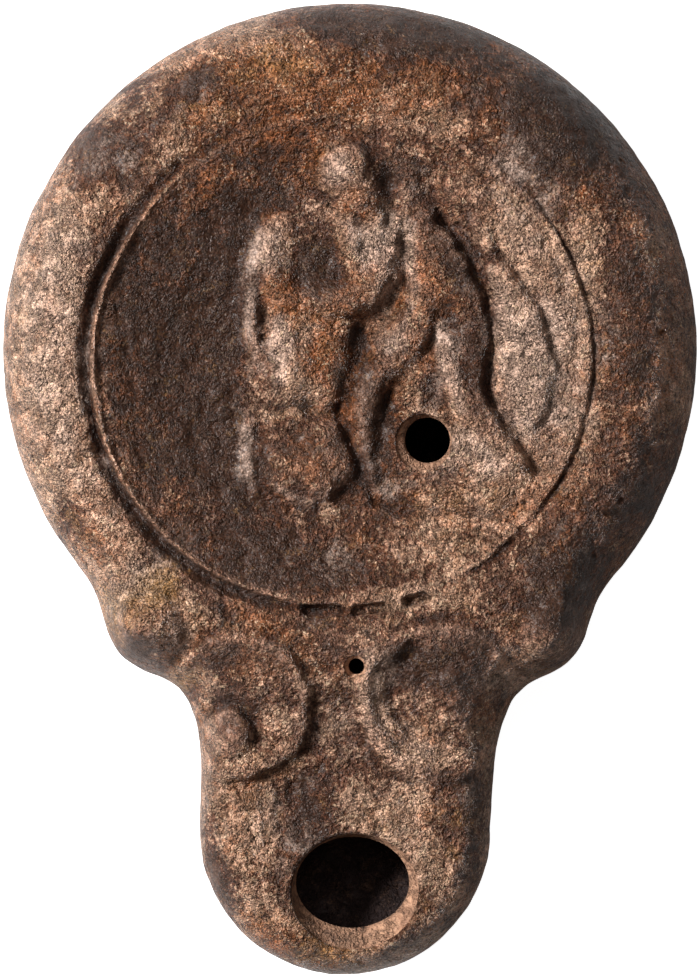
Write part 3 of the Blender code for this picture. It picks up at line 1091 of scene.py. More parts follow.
    def clear_of_base(self, x: Array, y: Array) -> Array:
        """Which points keep off the edge of the base."""
        return np.abs(from_circle(x, y, ORIGIN, self.form.base_radius + self.base_middle)) > self.base_margin

    def clear_of_throats(self, x: Array, y: Array) -> Array:
        """Which points keep off the holes in the ceiling."""
        return np.logical_and.reduce([hole.clear_of(x, y, self.throat_margin) for hole in self.holes])

    def add_tube(self, hole: Hole) -> tuple[Array, Array]:
        """Adds one hole's rolled lip and wall.

        Args:
            hole: The hole.

        Returns:
            The loop on the lamp's top and the loop on the cavity's ceiling.
        """
        x, y = hole.loop(0, hole.lip)
        top = self.form.top(x, y)
        loops = [self.mesh.add(x, y, top)]
        for turn in np.radians(self.lip_turns):
            x, y = hole.loop(0, hole.lip * (1 - math.sin(turn)))
            loops.append(self.mesh.add(x, y, top - hole.lip * (1 - math.cos(turn)), self.lip_skin))
        rim_height = top - hole.lip
        for share in self.slope_shares:
            x, y = hole.loop(share, 0)
            loops.append(self.mesh.add(x, y, rim_height - hole.slope * share, self.slope_skin))
        height, throat_height = rim_height - hole.slope, self.form.ceiling(x, y)
        for share in self.tube_shares:
            loops.append(self.mesh.add(x, y, height + share * (throat_height - height), 0))
        lip = len(self.lip_turns)
        self.mesh.bands(loops[: lip + 1], Clay.SLIPPED)
        self.mesh.bands(loops[lip:], Clay.BARE)
        return loops[0], loops[-1]

    def ring(self, off: float) -> Places:
        """A line that follows the disc's edge at a distance, so that ridge and groove stay crisp."""
        angle = full_turn(self.ring_points)
        return polar(self.form.ring.middle, self.form.ring.crest(angle) + off, angle)

    def build(self) -> bpy.types.Object:
        """Builds the shell.

        Returns:
            Its object.
        """
        form = self.form
        top = Side(form.top, self.top_bands, 40, 0, self.top_spacing, Clay.SLIPPED, False)
        underside = Side(form.underside, self.lower_bands, 44, 0, self.underside_spacing, Clay.SLIPPED, True)
        ceiling = Side(form.ceiling, self.cavity_bands, 44, form.wall, self.cavity_spacing, Clay.BARE, True)
        well = ceiling._replace(height=form.well, turned=False)
        rings = [self.ring(off) for off in self.ring_offsets]
        turn = full_turn(self.base_points)
        base = [polar(ORIGIN, form.base_radius + off, turn) for off in self.base_offsets]

        directions = form.outline.even_directions(self.outline_points)
        seam = self.seam_loop(directions, top)
        rims, throats = zip(*[self.add_tube(hole) for hole in self.holes])
        self.add_side(seam, directions, top, rims, rings, self.clear_on_top)
        self.add_side(seam, directions, underside, (), base, self.clear_of_base)
        directions = directions[::2]
        seam = self.seam_loop(directions, ceiling)
        self.add_side(seam, directions, ceiling, throats, (), self.clear_of_throats)
        self.add_side(seam, directions, well)
        return self.mesh.to_object("lamp_body_clay")


# ---- node trees


Feed = bpy.types.NodeSocket | bpy.types.ID | float | Sequence[float]
Feeds = dict[str | int, Feed]
Socket = bpy.types.NodeSocket
Sockets = bpy.types.bpy_prop_collection


class Graph:
    """A node tree, with short calls that add nodes and wire them."""

    def __init__(self, tree: bpy.types.NodeTree) -> None:
        """Works on the given tree."""
        self.tree = tree

    def node(self, kind: str, feeds: Feeds | None = None, **settings: object) -> bpy.types.Node:
        """Adds one node.

        Args:
            kind: The node's type.
            feeds: What goes into its sockets, by their names or places: another socket or a value.
            **settings: The node's own properties.

        Returns:
            The node.
        """
        node = self.tree.nodes.new(kind)
        for name, value in settings.items():
            setattr(node, name, value)
        for key, feed in (feeds or {}).items():
            self.feed(node.inputs[key], feed)
        return node

    def feed(self, socket: Socket, feed: Feed) -> None:
        """Fills a socket.

        Args:
            socket: The socket.
            feed: Another socket to link into it, or its value.
        """
        if isinstance(feed, Socket):
            self.tree.links.new(feed, socket)
        else:
            socket.default_value = feed

    def math(self, operation: str, *feeds: Feed, clamp: bool = False) -> Socket:
        """A Math node's result."""
        node = self.node("ShaderNodeMath", dict(enumerate(feeds)), operation=operation, use_clamp=clamp)
        return node.outputs[0]

    def times(self, first: Feed, second: Feed, *others: Feed) -> Socket:
        """The product of two or more numbers."""
        product = self.math("MULTIPLY", first, second)
        return self.times(product, *others) if others else product

    def vector(self, operation: str, *feeds: Feed) -> Socket:
        """A Vector Math node's result."""
        node = self.node("ShaderNodeVectorMath", dict(enumerate(feeds)), operation=operation)
        return node.outputs["Value" if operation == "DISTANCE" else "Vector"]

    def scaled(self, vector: Feed, factor: Feed) -> Socket:
        """A vector times a number."""
        return self.node("ShaderNodeVectorMath", {0: vector, "Scale": factor}, operation="SCALE").outputs[0]

    def z_of(self, vector: Feed) -> Socket:
        """A vector's Z."""
        return self.node("ShaderNodeSeparateXYZ", {0: vector}).outputs[2]

    def step(self, value: Feed, start: float, end: float, low: float = 0, high: float = 1) -> Socket:
        """A smooth step from low at start to high at end."""
        feeds = {"Value": value, "From Min": start, "From Max": end, "To Min": low, "To Max": high}
        return self.node("ShaderNodeMapRange", feeds, interpolation_type="SMOOTHSTEP").outputs["Result"]

    def mix(self, share: Feed, first: Feed, second: Feed) -> Socket:
        """One colour laid over another."""
        return self.node("ShaderNodeMix", {0: share, 6: first, 7: second}, data_type="RGBA").outputs[2]

    def noise(
        self,
        vector: Feed,
        scale: Feed,
        detail: float = 4,
        rough: float = 0.6,
        twist: float = 0,
        shift: Feed = (),
    ) -> Socket:
        """Adds a noise texture.

        Args:
            vector: The place.
            scale: How fine it is.
            detail: How many finer layers it has.
            rough: How strong those are.
            twist: How far it is distorted.
            shift: How far off the place it is read, if at all, so that noises differ.

        Returns:
            Its value, 0.5 on average.
        """
        place = self.vector("ADD", vector, shift) if shift else vector
        feeds = {"Vector": place, "Scale": scale, "Detail": detail, "Roughness": rough, "Distortion": twist}
        return self.node("ShaderNodeTexNoise", feeds).outputs[0]

    def group(self, tree: bpy.types.NodeTree, **feeds: Feed) -> Sockets:
        """The outputs of a node group, whose inputs are named in words joined by _."""
        named = {name.replace("_", " ").title(): feed for name, feed in feeds.items()}
        return self.node("ShaderNodeGroup", named, node_tree=tree).outputs

    def millimetres(self) -> Socket:
        """The place on the piece, in millimetres."""
        return self.scaled(self.node("ShaderNodeTexCoord").outputs["Object"], 1 / METRES)

    def attribute(self, name: str) -> Socket:
        """A number that the mesh carries at each point, in a material."""
        return self.node("ShaderNodeAttribute", attribute_name=name).outputs["Fac"]

    def note(self, name: str, data_type: str) -> Socket:
        """The same in a Geometry Nodes tree."""
        return self.node("GeometryNodeInputNamedAttribute", {"Name": name}, data_type=data_type).outputs[0]

    def surface(self, colour: Feed, rough: Feed, relief: Feed, depth: float, shine: float) -> None:
        """Ends a clay's material with its bump, shader and output.

        Args:
            colour: The colour.
            rough: The roughness.
            relief: The height of the fine relief.
            depth: How deep that is, in millimetres.
            shine: The shader's specular level.
        """
        feeds = {"Strength": 1.0, "Distance": depth * METRES, "Height": relief}
        normal = self.node("ShaderNodeBump", feeds).outputs[0]
        feeds = {"Base Color": colour, "Roughness": rough, "Normal": normal, "Specular IOR Level": shine}
        shader = self.node("ShaderNodeBsdfPrincipled", feeds)
        self.node("ShaderNodeOutputMaterial", {"Surface": shader.outputs[0]})


def new_group(name: str, kind: str, inputs: dict[str, object], outputs: dict[str, str]) -> bpy.types.NodeTree:
    """Makes a node group with named sockets.

    Args:
        name: The group's name.
        kind: The tree's type.
        inputs: The default of each input socket, or the name of its type where it has none.
        outputs: The type of each output socket.

    Returns:
        The tree.
    """
    tree = bpy.data.node_groups.new(name, kind)
    types = {float: "Float", int: "Int", 3: "Vector", 4: "Color"}
    for socket, default in inputs.items():
        bare = isinstance(default, str)
        found = default if bare else types[len(default) if isinstance(default, tuple) else type(default)]
        item = tree.interface.new_socket(name=socket, in_out="INPUT", socket_type=f"NodeSocket{found}")
        if not bare:
            item.default_value = default
    for socket, found in outputs.items():
        tree.interface.new_socket(name=socket, in_out="OUTPUT", socket_type=f"NodeSocket{found}")
    return tree


def new_material(name: str) -> tuple[bpy.types.Material, Graph]:
    """Starts a material.

    Args:
        name: Its name.

    Returns:
        The empty material, and its graph.
    """
    material = bpy.data.materials.new(name)
    material.use_nodes = True
    material.node_tree.nodes.clear()
    return material, Graph(material.node_tree)


# ---- marks of making and wear


class WearTree(Graph):
    """The Geometry Nodes tree of the marks. Heights in it are in millimetres."""

    def __init__(self, values: dict[str, object]) -> None:
        """Builds the tree.

        Args:
            values: The name and the default of each input but the shape and the materials.
        """
        inputs = {"Geometry": "Geometry", "Slipped Clay": "Material", "Bare Clay": "Material"} | values
        super().__init__(new_group("wear_marks", "GeometryNodeTree", inputs, {"Geometry": "Geometry"}))
        self.tree.is_modifier = True
        self.given = self.node("NodeGroupInput").outputs
        self.place = self.scaled(self.node("GeometryNodeInputPosition").outputs[0], 1 / METRES)
        self.skin = self.note("skin", "FLOAT")
        stroke = self.dashes()
        rise = self.math("SUBTRACT", self.math("ADD", self.uneven(), self.seam()), self.pits())
        rise = self.math("SUBTRACT", rise, self.times(stroke, self.given["Dash Depth"]))
        normal = self.node("GeometryNodeInputNormal").outputs[0]
        lying = self.step(self.math("ABSOLUTE", self.z_of(normal)), 0.2, 0.85, 0.22, 1)
        worn = self.times(self.skin, self.step(self.z_of(self.place), 0.02, 1.2), lying)
        offset = self.scaled(normal, self.times(rise, self.times(worn, METRES)))
        feeds = {"Geometry": self.given["Geometry"], "Offset": offset}
        moved = self.node("GeometryNodeSetPosition", feeds).outputs[0]
        feeds = {"Geometry": moved, "Name": "stroke", "Value": stroke}
        noted = self.node("GeometryNodeStoreNamedAttribute", feeds, data_type="FLOAT", domain="POINT")
        whole = self.node("GeometryNodeRealizeInstances", {0: noted.outputs[0]}).outputs[0]
        feeds = {"Geometry": whole, "Material": self.given["Slipped Clay"]}
        slipped = self.node("GeometryNodeSetMaterial", feeds).outputs[0]
        is_bare = self.note("bare_clay", "BOOLEAN")
        feeds = {"Geometry": slipped, "Selection": is_bare, "Material": self.given["Bare Clay"]}
        self.node("NodeGroupOutput", {0: self.node("GeometryNodeSetMaterial", feeds).outputs[0]})

    def uneven(self) -> Socket:
        """Adds the slow wander of hand-pressed clay and the finer wear on it.

        Returns:
            How far they raise the skin.
        """
        parts = []
        for name, detail in (("Wander", 2), ("Wear", 3)):
            noise = self.noise(self.place, self.math("DIVIDE", 1, self.given[f"{name} Size"]), detail, 0.55)
            parts.append(self.times(self.math("MULTIPLY_ADD", noise, 4, -2), self.given[f"{name} Height"]))
        return self.math("ADD", *parts)

    def seam(self) -> Socket:
        """Adds the broken line that joins the two halves of the mould.

        Returns:
            How far it raises the skin.
        """
        above = self.math("SUBTRACT", self.z_of(self.place), self.given["Seam Level"])
        off = self.math("DIVIDE", above, self.given["Seam Width"])
        line = self.math("EXPONENT", self.times(off, off, -1))
        broken = self.step(self.noise(self.place, 0.13, 2), 0.38, 0.62, -0.4, 1)
        return self.times(line, broken, self.given["Seam Height"])

    def pits(self) -> Socket:
        """Adds small round air pits strewn over the skin.

        Returns:
            Their depth.
        """
        density = self.times(self.skin, self.given["Pit Density"], METRES**-2)
        feeds = {"Mesh": self.given["Geometry"], "Density": density, "Seed": self.given["Seed"]}
        spots = self.node("GeometryNodeDistributePointsOnFaces", feeds).outputs["Points"]
        position = self.node("GeometryNodeInputPosition").outputs[0]
        nearest = self.node("GeometryNodeSampleNearest", {0: spots, 1: position}, domain="POINT").outputs[0]
        feeds = {0: spots, 1: position, 2: nearest}
        middle = self.node("GeometryNodeSampleIndex", feeds, data_type="FLOAT_VECTOR").outputs[0]
        share = self.chance(nearest, 0.35, 1.0)
        radius = self.times(share, self.given["Pit Radius"], METRES)
        away = self.math("DIVIDE", self.vector("DISTANCE", position, middle), radius)
        return self.times(self.step(away, 0.35, 1, 1, 0), share, self.given["Pit Depth"])

    def chance(self, number: Feed, low: float, high: float) -> Socket:
        """A random value for each number, from the tree's seed."""
        feeds = {2: low, 3: high, "ID": number, "Seed": self.given["Seed"]}
        return self.node("FunctionNodeRandomValue", feeds, data_type="FLOAT").outputs[1]

    def dashes(self) -> Socket:
        """Adds the short tool strokes in the groove, which follow an arc round the disc.

        Returns:
            1 on the strokes and 0 off them.
        """
        feeds = {
            "Resolution": self.given["Dash Count"],
            "Radius": self.times(self.given["Dash Arc Radius"], METRES),
            "Start Angle": self.math("RADIANS", self.given["Dash Start"]),
            "Sweep Angle": self.math("RADIANS", self.given["Dash Sweep"]),
        }
        arc = self.node("GeometryNodeCurveArc", feeds, mode="RADIUS").outputs[0]
        along = self.node("GeometryNodeCurveToPoints", {0: arc}, mode="EVALUATED").outputs
        half = self.times(self.given["Dash Length"], METRES / 2)
        step = self.node("ShaderNodeCombineXYZ", {"Z": half}).outputs[0]
        feeds = {"Count": 3, "Start Location": self.scaled(step, -1), "Offset": step}
        stroke = self.node("GeometryNodeMeshLine", feeds, mode="OFFSET").outputs[0]
        length = self.chance(self.node("GeometryNodeInputIndex").outputs[0], 0.55, 1.15)
        scale = self.node("ShaderNodeCombineXYZ", {0: 1.0, 1: 1.0, 2: length}).outputs[0]
        feeds = {"Points": along["Points"], "Instance": stroke, "Rotation": along["Rotation"], "Scale": scale}
        strokes = self.node("GeometryNodeInstanceOnPoints", feeds).outputs[0]
        strokes = self.node("GeometryNodeRealizeInstances", {0: strokes}).outputs[0]
        plan = self.vector("SUBTRACT", self.place, self.given["Disc Middle"])
        feeds = {0: strokes, "Source Position": self.vector("MULTIPLY", plan, (METRES, METRES, 0))}
        near = self.node("GeometryNodeProximity", feeds, target_element="EDGES")
        off = self.math("DIVIDE", near.outputs["Distance"], self.times(self.given["Dash Width"], METRES))
        return self.times(self.step(off, 0.5, 1.4, 1, 0), self.step(self.z_of(self.place), 18, 20))


@dataclass(frozen=True)
class WearMarks:
    """Uneven skin, air pits, seam scar and tool dashes, made by Geometry Nodes on the lamp's points."""

    wander_size: float = 7.0
    wander_height: float = 0.42
    wear_size: float = 1.9
    wear_height: float = 0.22
    pit_density: float = 0.035
    pit_radius: float = 0.55
    pit_depth: float = 0.32
    seam_width: float = 0.5
    seam_height: float = 0.16
    dash_count: int = 3
    dash_length: float = 3.7
    dash_width: float = 0.62
    dash_depth: float = 0.9
    dash_arc_radius: float = 29.9
    dash_start: float = 265.0
    dash_sweep: float = 21.5
    seed: int = 7

    def values(self, form: LampForm) -> dict[str, object]:
        """What goes into the tree: each field by its name in words, and the form's seam and disc."""
        sizes = {name.replace("_", " ").title(): value for name, value in vars(self).items()}
        return sizes | {"Seam Level": form.seam, "Disc Middle": (*form.ring.middle, 0)}

    def apply(
        self, obj: bpy.types.Object, form: LampForm, slipped: bpy.types.Material, bare: bpy.types.Material
    ) -> None:
        """Runs the tree on the lamp and keeps its result as a plain mesh.

        Args:
            obj: The lamp.
            form: Its form, for the level of the seam and the middle of the disc.
            slipped: The material of the outside.
            bare: The material of the inside.
        """
        values = self.values(form)
        modifier = obj.modifiers.new("wear_marks", "NODES")
        modifier.node_group = WearTree(values).tree
        values |= {"Slipped Clay": slipped, "Bare Clay": bare}
        for item in modifier.node_group.interface.items_tree:
            if item.name in values:
                modifier[item.identifier] = values[item.name]
        depsgraph = bpy.context.evaluated_depsgraph_get()
        result = obj.evaluated_get(depsgraph)
        mesh = bpy.data.meshes.new_from_object(result, preserve_all_data_layers=True, depsgraph=depsgraph)
        obj.modifiers.remove(modifier)
        obj.data = mesh


# ---- patches of colour


class Patch(NamedTuple):
    """A soft oval on the plan where one finish is stronger, or weaker where its strength is negative."""

    x: float
    y: float
    half_x: float
    half_y: float
    strength: float
    turn: float = 0


def ovals(*rows: tuple[float, ...]) -> tuple[Patch, ...]:
    """Patches from rows of numbers, in the order of a patch's fields."""
    return tuple(Patch(*row) for row in rows)


def strength(x: Array, y: Array, patches: Sequence[Patch]) -> Array:
    """Adds up some patches.

    Args:
        x: The points' X.
        y: Their Y.
        patches: The patches.

    Returns:
        How strong they are at each point.
    """
    total = np.zeros_like(x)
    for patch in patches:
        cos, sin = math.cos(math.radians(patch.turn)), math.sin(math.radians(patch.turn))
        across = ((x - patch.x) * cos + (y - patch.y) * sin) / patch.half_x
        up = ((y - patch.y) * cos - (x - patch.x) * sin) / patch.half_y
        total += patch.strength * np.exp(-((across**2 + up**2) ** 1.4))
    return total


@dataclass(frozen=True)
class Patches:
    """Where slip, dust, ochre clay, red clay and grime show most on the lamp, and where lines are pale. Some
    slip and grime patches are painted shade, some slip and dust patches are painted light, and the pale lines
    are painted highlights.
    """

    slip_base: float = 0.5
    # Mostly the real slip, but some patches paint shade: the cast shadow right of the left head, the shaded
    # hollow between shoulder and neck, the wedge under the forearm and the shaded left of the disc. Negative
    # patches on the left shoulder paint it lighter where the light falls.
    slip: tuple[Patch, ...] = ovals(
        (5, 37.5, 9, 2.6, 0.6, -8), (24, 26, 9, 5, 0.6, -42), (23, 20, 4, 4, 0.2), (33, 2, 3.2, 14, 0.3),
        (25, -26, 4, 6, 0.45, -30), (24, -31, 3, 3, 0.45), (-20, 3, 9, 21, 0.4),
        (-15, -13, 6, 5, 0.35, -30), (-8, -25, 13, 4, 0.4, -8), (-29, 24, 4.5, 6, 0.35, -35),
        (-17, 31, 2.2, 1.6, 0.35, 30), (-33, -22, 2.5, 4, 0.25, 20), (-5, -54, 3.5, 4.5, 0.25, 20),
        (-13.5, -43.2, 2.6, 3.4, 0.3, 40), (8, -37, 7, 3.2, 0.45, -10), (-3.8, 10.5, 3.2, 4.2, 0.5, 10),
        (-14.5, -6, 2.4, 9, 0.2), (-25, -35, 3, 2, 0.4, 20), (12.8, 6.5, 2.2, 6, 0.3, -15),
        (15, -1, 2, 5, 0.5), (2, -1, 2.4, 3.4, 0.3, 15), (-15.5, -63, 1.6, 7, 0.2, 10),
        (14, -52, 2.4, 5, 0.2), (4, -14, 4.5, 3.4, 0.35), (-16, -36, 3.4, 2.6, 0.35),
        (13.5, 29, 2.6, 2.2, 0.3), (6, 21, 2.4, 2.6, 0.3), (-10, 17, 4, 2.4, 0.3, 30),
        (-7, -60, 2.6, 4, 0.3), (-37.5, -4, 4.5, 19, -0.5, 2), (-31.5, -8, 3.5, 14, -0.4, 6),
        (-22, 33, 12, 3, -0.3, 38), (-13, 36, 5, 2.2, -0.35, 20), (20, -38, 3.6, 2.2, -0.5, 10),
        (16, -46, 1.8, 5, -0.3), (38, -4, 2.6, 6, -0.35), (36, 12, 2.4, 6, -0.3, 15),
        (30, -18, 2.4, 6, -0.3, -30), (-21, 23, 3, 7, -0.35, -42), (-8, 33.5, 6, 2.6, -0.25, 12),
        (4, 29, 12, 2.6, -0.3, -6), (10.5, 27, 3, 2.2, -0.3), (-5, 0, 5, 5, -0.4),
        (-9, 9, 2.8, 5.4, -0.45), (-1.5, 21.5, 3.4, 3.2, -0.25), (3.8, 11, 3.4, 5.8, -0.6, -15),
        (10, -11, 3.5, 3.5, -0.3), (19, -15, 5, 4, -0.3, -30), (21, 0, 4.4, 9, -0.4),
        (27, 2, 2.8, 16, -0.35), (21, 13, 8, 2.6, -0.35, -48), (14, -20, 8, 4, -0.22, 20),
        (4, -57, 4.5, 3.4, -0.45), (10, -47, 5, 2.4, -0.3, -10), (-13, -55, 4, 9, -0.3, 10),
        (12, -56, 4, 7, -0.25), (3, -72, 9, 2.2, -0.25, 8), (-8, -67, 4, 4, -0.25, -30),
        (3, -40, 1.8, 6, -0.4, 10), (-21, -33, 3.4, 3.4, -0.55, 40), (-30, -26, 3.4, 6, -0.35, 30),
        (-18.9, 32, 2.4, 1.6, 0.45, 20), (2.6, 37.6, 4, 1.5, 0.35), (25, 28, 4.4, 2.4, 0.4, -40),
        (-12, 9, 2, 6, 0.3), (-13, -14, 2, 4, 0.35), (-12, -24, 5, 4, 0.25, 20), (13, 9.5, 2, 3, 0.25),
        (30, -17, 2.4, 3, 0.2), (-25, -34, 2.4, 1.8, 0.2), (10, -38, 3, 2, 0.3),
        (2.4, -8.5, 1.4, 6, 0.35, 3), (30, -18, 3, 4, 0.3, -25), (36, -14, 3, 8, 0.25, -20),
        (-12, 13, 2, 3, 0.2), (16, -35, 2, 2, 0.3), (12, -52, 2, 3, 0.25), (-29, -3, 1.4, 6, 0.3),
        (-25, 31, 3, 2, 0.2, 40), (4.3, 20, 1.2, 1.2, 0.4), (-4.3, 9.8, 2.2, 2.6, 0.25),
        (0.6, 1.6, 1.3, 1.6, 0.5), (-1.4, -3.5, 0.9, 3, 0.4, 20), (-5.5, -10.2, 4.6, 2.2, 0.2),
        (4.4, -8, 1.2, 4, 0.3, 10), (6, -29.5, 7, 1.8, -0.35), (4.4, 7.5, 2.2, 5.5, -0.35, -30),
        (-5, 1, 3, 5, -0.3), (-33, 19, 3, 6, -0.3, 30), (-16.5, -46, 1.6, 7, -0.35, 5),
        (36, -12, 1.8, 7, -0.25, -22), (-15, 8, 3, 6, 0.2, -10), (9, 15, 2.4, 3, 0.3),
        (-16, -12, 5, 3, 0.15, -30), (0, -19.5, 2, 2, 0.3), (28, -20.5, 2.4, 1.8, 0.25),
        (12, -56, 3, 6, 0.25), (-12, 13, 2, 3, 0.15),
    )
    # Partly real pale dust, partly painted highlights on lit slopes: the left shoulder and the lit sides of
    # the figures.
    dust: tuple[Patch, ...] = ovals(
        (21, -1, 4.4, 9, 1.1), (-33, -4, 6, 24, 0.12, 2), (13, -12.5, 6, 3, 0.7, -20),
        (6, -14, 3, 2.4, 0.3), (-11.6, 3, 1.3, 7, 0.6), (-12.4, -11, 1.4, 5, 0.6),
        (19, 15, 8, 2.6, 0.4, -48), (-35, 2, 4.6, 16, 0.65, 2), (-30, -17, 3, 7, 0.45, 25),
        (-10, 12, 2, 3, 0.6), (-1, 21.4, 2.2, 2.2, 0.7), (-8.8, 1, 1.6, 4.4, 0.4, 5),
        (3, 11.5, 2.4, 4, 0.35, -10), (12, 1, 2, 5, 0.25, 10), (-9.2, 11.8, 1.7, 2, 0.5),
        (1.8, 13, 2, 2, 0.55), (-8.2, 0.4, 1.7, 3.6, 0.6, 10), (5, 0.4, 2.6, 2, 0.5),
        (5, -16.3, 3.2, 1.4, 0.5), (7, 19, 1.2, 1.6, 0.4), (4.6, 12.5, 2.6, 4, 0.6, -15),
        (5, -72, 5, 2.2, 0.4, 12), (24, -6, 5, 9, 0.4), (27, 8, 2, 6, 0.4), (0, -45, 10, 6, 0.25),
        (10, -55, 5, 6, 0.05), (-3.4, -61, 2.2, 3, 0.6, 10), (4, -38, 1.5, 3, 0.5), (18, -39, 3, 2, 0.4),
        (-24, -27, 3, 2.4, 0.4), (-20, -34, 1.6, 2, 0.5), (0, -24, 8, 3, 0.25), (4.4, 7, 1.8, 5, 0.9, -25),
        (30, 1, 2, 6, 0.4), (20, 18, 6, 2.6, 0.35, -48), (-28, 23, 4, 3, 0.3, 40),
        (-19, 28, 4, 2, 0.3, 35), (17, -40, 2.4, 2.4, 0.4), (19, 23, 2, 2.4, 0.6), (-6, 2, 2, 4, 0.3),
        (10, -5, 1.2, 3, 0.6), (-24, -26, 4, 3, 0.35, 40), (-20, -34, 3, 2, 0.3, 30),
        (15.5, -56, 1.8, 8, 0.35, 5), (21, -39, 3, 1.8, 0.35), (23, 19, 4, 3, 0.3, -45),
        (-32, 14, 3, 4, 0.25, 15), (-4, -60, 3, 3, 0.25), (28, -6, 2, 7, 0.3),
        (2.4, -40, 1.5, 6.5, 0.6, 8), (-27.5, -30.5, 2.2, 2.4, 0.5), (11.6, -1.5, 1.2, 4.4, 0.7, 15),
        (6, -57, 5, 3.4, 0.4), (-10, -57, 4, 6, 0.35, 5), (9, -47, 5, 2, 0.3, -5),
        (26, -12, 3, 9, 0.25, 12), (25, 5, 2, 5, 0.3, 10),
    )
    ochre: tuple[Patch, ...] = ovals(
        (-8, 34, 5.5, 2.8, 0.6, 10), (-23.5, -28.5, 4.5, 2.6, 1.3, 35), (-3, -71.5, 5, 2.4, 0.8, -10),
        (-20, -38.6, 3, 2, 0.9, 35), (-28.5, -31, 1.4, 4, 0.9, 15), (12, -17.5, 6, 2, 0.4),
        (13, -57, 3.4, 6, 0.3), (-33, -21, 2.4, 5, 0.4, 30), (-18, 27, 6, 3, 0.3, 40),
        (26, 14, 3, 8, 0.25, 25), (8.5, 5, 2.6, 3, 0.35),
    )
    warm: tuple[Patch, ...] = ovals(
        (-11, 23, 10, 5, 0.75, 25), (0, 31, 20, 5, 0.65), (24, 24, 9, 5, 0.5, -45), (36, 4, 4, 16, 0.5),
        (30, -25, 5, 8, 0.4, -30), (5, 8, 4, 4, 0.5, 45), (-6, 6, 5, 3, 0.6), (-1, -2, 2, 6, 0.5, 15),
        (9.4, 9, 2, 6, 0.7, 10), (-12, 21, 4, 3, 0.35), (1, 17, 2.6, 2, 0.6), (-3, -2, 3, 3, 0.4),
        (2, -14, 3, 3, 0.6), (14, 36, 9, 3, 0.35, -20), (32, 22, 4, 5, 0.35, -35),
        (30, -28, 3.4, 3.4, 0.5), (24, 31, 14, 4, 0.6, -42), (-5, -72.5, 5, 1.6, 0.5),
        (-24, -38, 3.4, 2.4, 0.4), (-22, -9, 6, 4, 0.35), (-20, 0, 7, 14, 0.6), (-4.3, -13, 4, 3, 0.8),
        (2, -6, 3, 8, 0.7, 5), (-2.6, -0.4, 2.4, 4, 0.8), (-7.4, 7.2, 3, 2, 0.7), (0, 6, 4, 2.4, 0.6, 20),
        (1.4, 17.5, 2, 1.8, 0.6), (4.6, 10.5, 1.6, 4, 0.5), (9, 4, 4, 8, 0.3, 10), (6, -3, 3, 4, 0.4),
        (-10, -36, 7, 4, 0.5, -10), (16, -40, 4, 4, 0.5), (-10, -71, 5, 3, 0.5, -30),
        (22, 10, 8, 10, -0.4), (12, -28, 10, 5, -0.4), (0, -42, 12, 6, -0.4), (0, -58, 14, 10, -0.3),
        (-10, -6, 3, 5, -0.4), (-22, 0, 6, 12, 0.4), (-11, 20, 6, 5, 0.4), (12, 38, 16, 3, 0.6, -18),
        (32, 24, 3, 9, 0.6, 38), (20, 24, 3, 3, 0.4), (37, -15, 3, 9, 0.4, -20), (-25.5, -6, 3, 9, 0.4),
        (10, 26.5, 4, 2.4, -0.5), (-4.4, 3, 2, 3, -0.4), (9, -8, 2, 6, -0.4), (-36, -4, 4, 16, -0.3),
    )
    # Painted shade, added to the hollows: at the wick hole's lower rim and in the wedge under the forearm; a
    # negative patch takes dark off beside the left lug.
    grime: tuple[Patch, ...] = ovals(
        (-3.6, -68.4, 3.2, 0.9, 1, -32), (0.2, -69.9, 1.6, 0.8, 0.9), (-6.3, -65.4, 1, 2.6, 0.7, 14),
        (-1, -69.6, 4.4, 0.9, 0.9), (-20.3, -32.5, 1.1, 3.2, -0.9), (4, -66.4, 1.6, 1.4, 0.6),
        (-14.8, -31.6, 0.5, 1.4, 0.9), (-5, -54.5, 2.6, 3.4, 0.45, 20), (1.2, 1.8, 1.4, 1, 0.5, -20),
    )
    # Painted highlights: pale lines along the lit left edges of the figures' forms, laid with the dust.
    pale: tuple[Valley, ...] = (
        Valley(((-11.8, 7.4), (-11.9, 4.0), (-11.5, 0.8), (-10.6, -2.2)), 0.5, 0.25),
        Valley(((-9.2, 15.0), (-10.8, 12.6), (-10.6, 9.6)), 1.0, 0.25),
        Valley(((-8.2, 3.4), (-8.0, -0.6), (-8.2, -3.6)), 0.9, 0.5),
        Valley(((-1.6, 22.6), (-2.2, 20.6)), 1.5, 0.7),
        Valley(((0.2, 14.8), (1.0, 12.4), (1.4, 9.8)), 1.0, 0.6),
        Valley(((4.8, 15.6), (5.2, 12.4)), 0.8, 0.6),
        Valley(((7.0, 15.2), (7.3, 11.4), (7.6, 7.4), (7.0, 4.2), (4.6, 0.0)), 0.7, 0.7),
        Valley(((3.0, -2.4), (1.6, -5.2), (1.3, -8.8), (2.2, -13.4)), 0.8, 0.2),
        Valley(((10.6, 2.6), (11.2, -0.8), (12.4, -4.6), (13.2, -7.0)), 0.75, 0.8),
        Valley(((-12.2, -9.2), (-12.0, -12.8), (-11.6, -16.4)), 0.5, 0.2),
        Valley(((-8.6, -16.2), (-6.4, -17.4), (-4.6, -18.1)), 0.6, 0.8),
        Valley(((17.0, 9.4), (17.9, 6.4), (18.0, 2.0)), 1.1, 0.5),
        Valley(((13.0, -9.0), (15.6, -11.0), (17.0, -13.6)), 1.3, 0.4),
    )


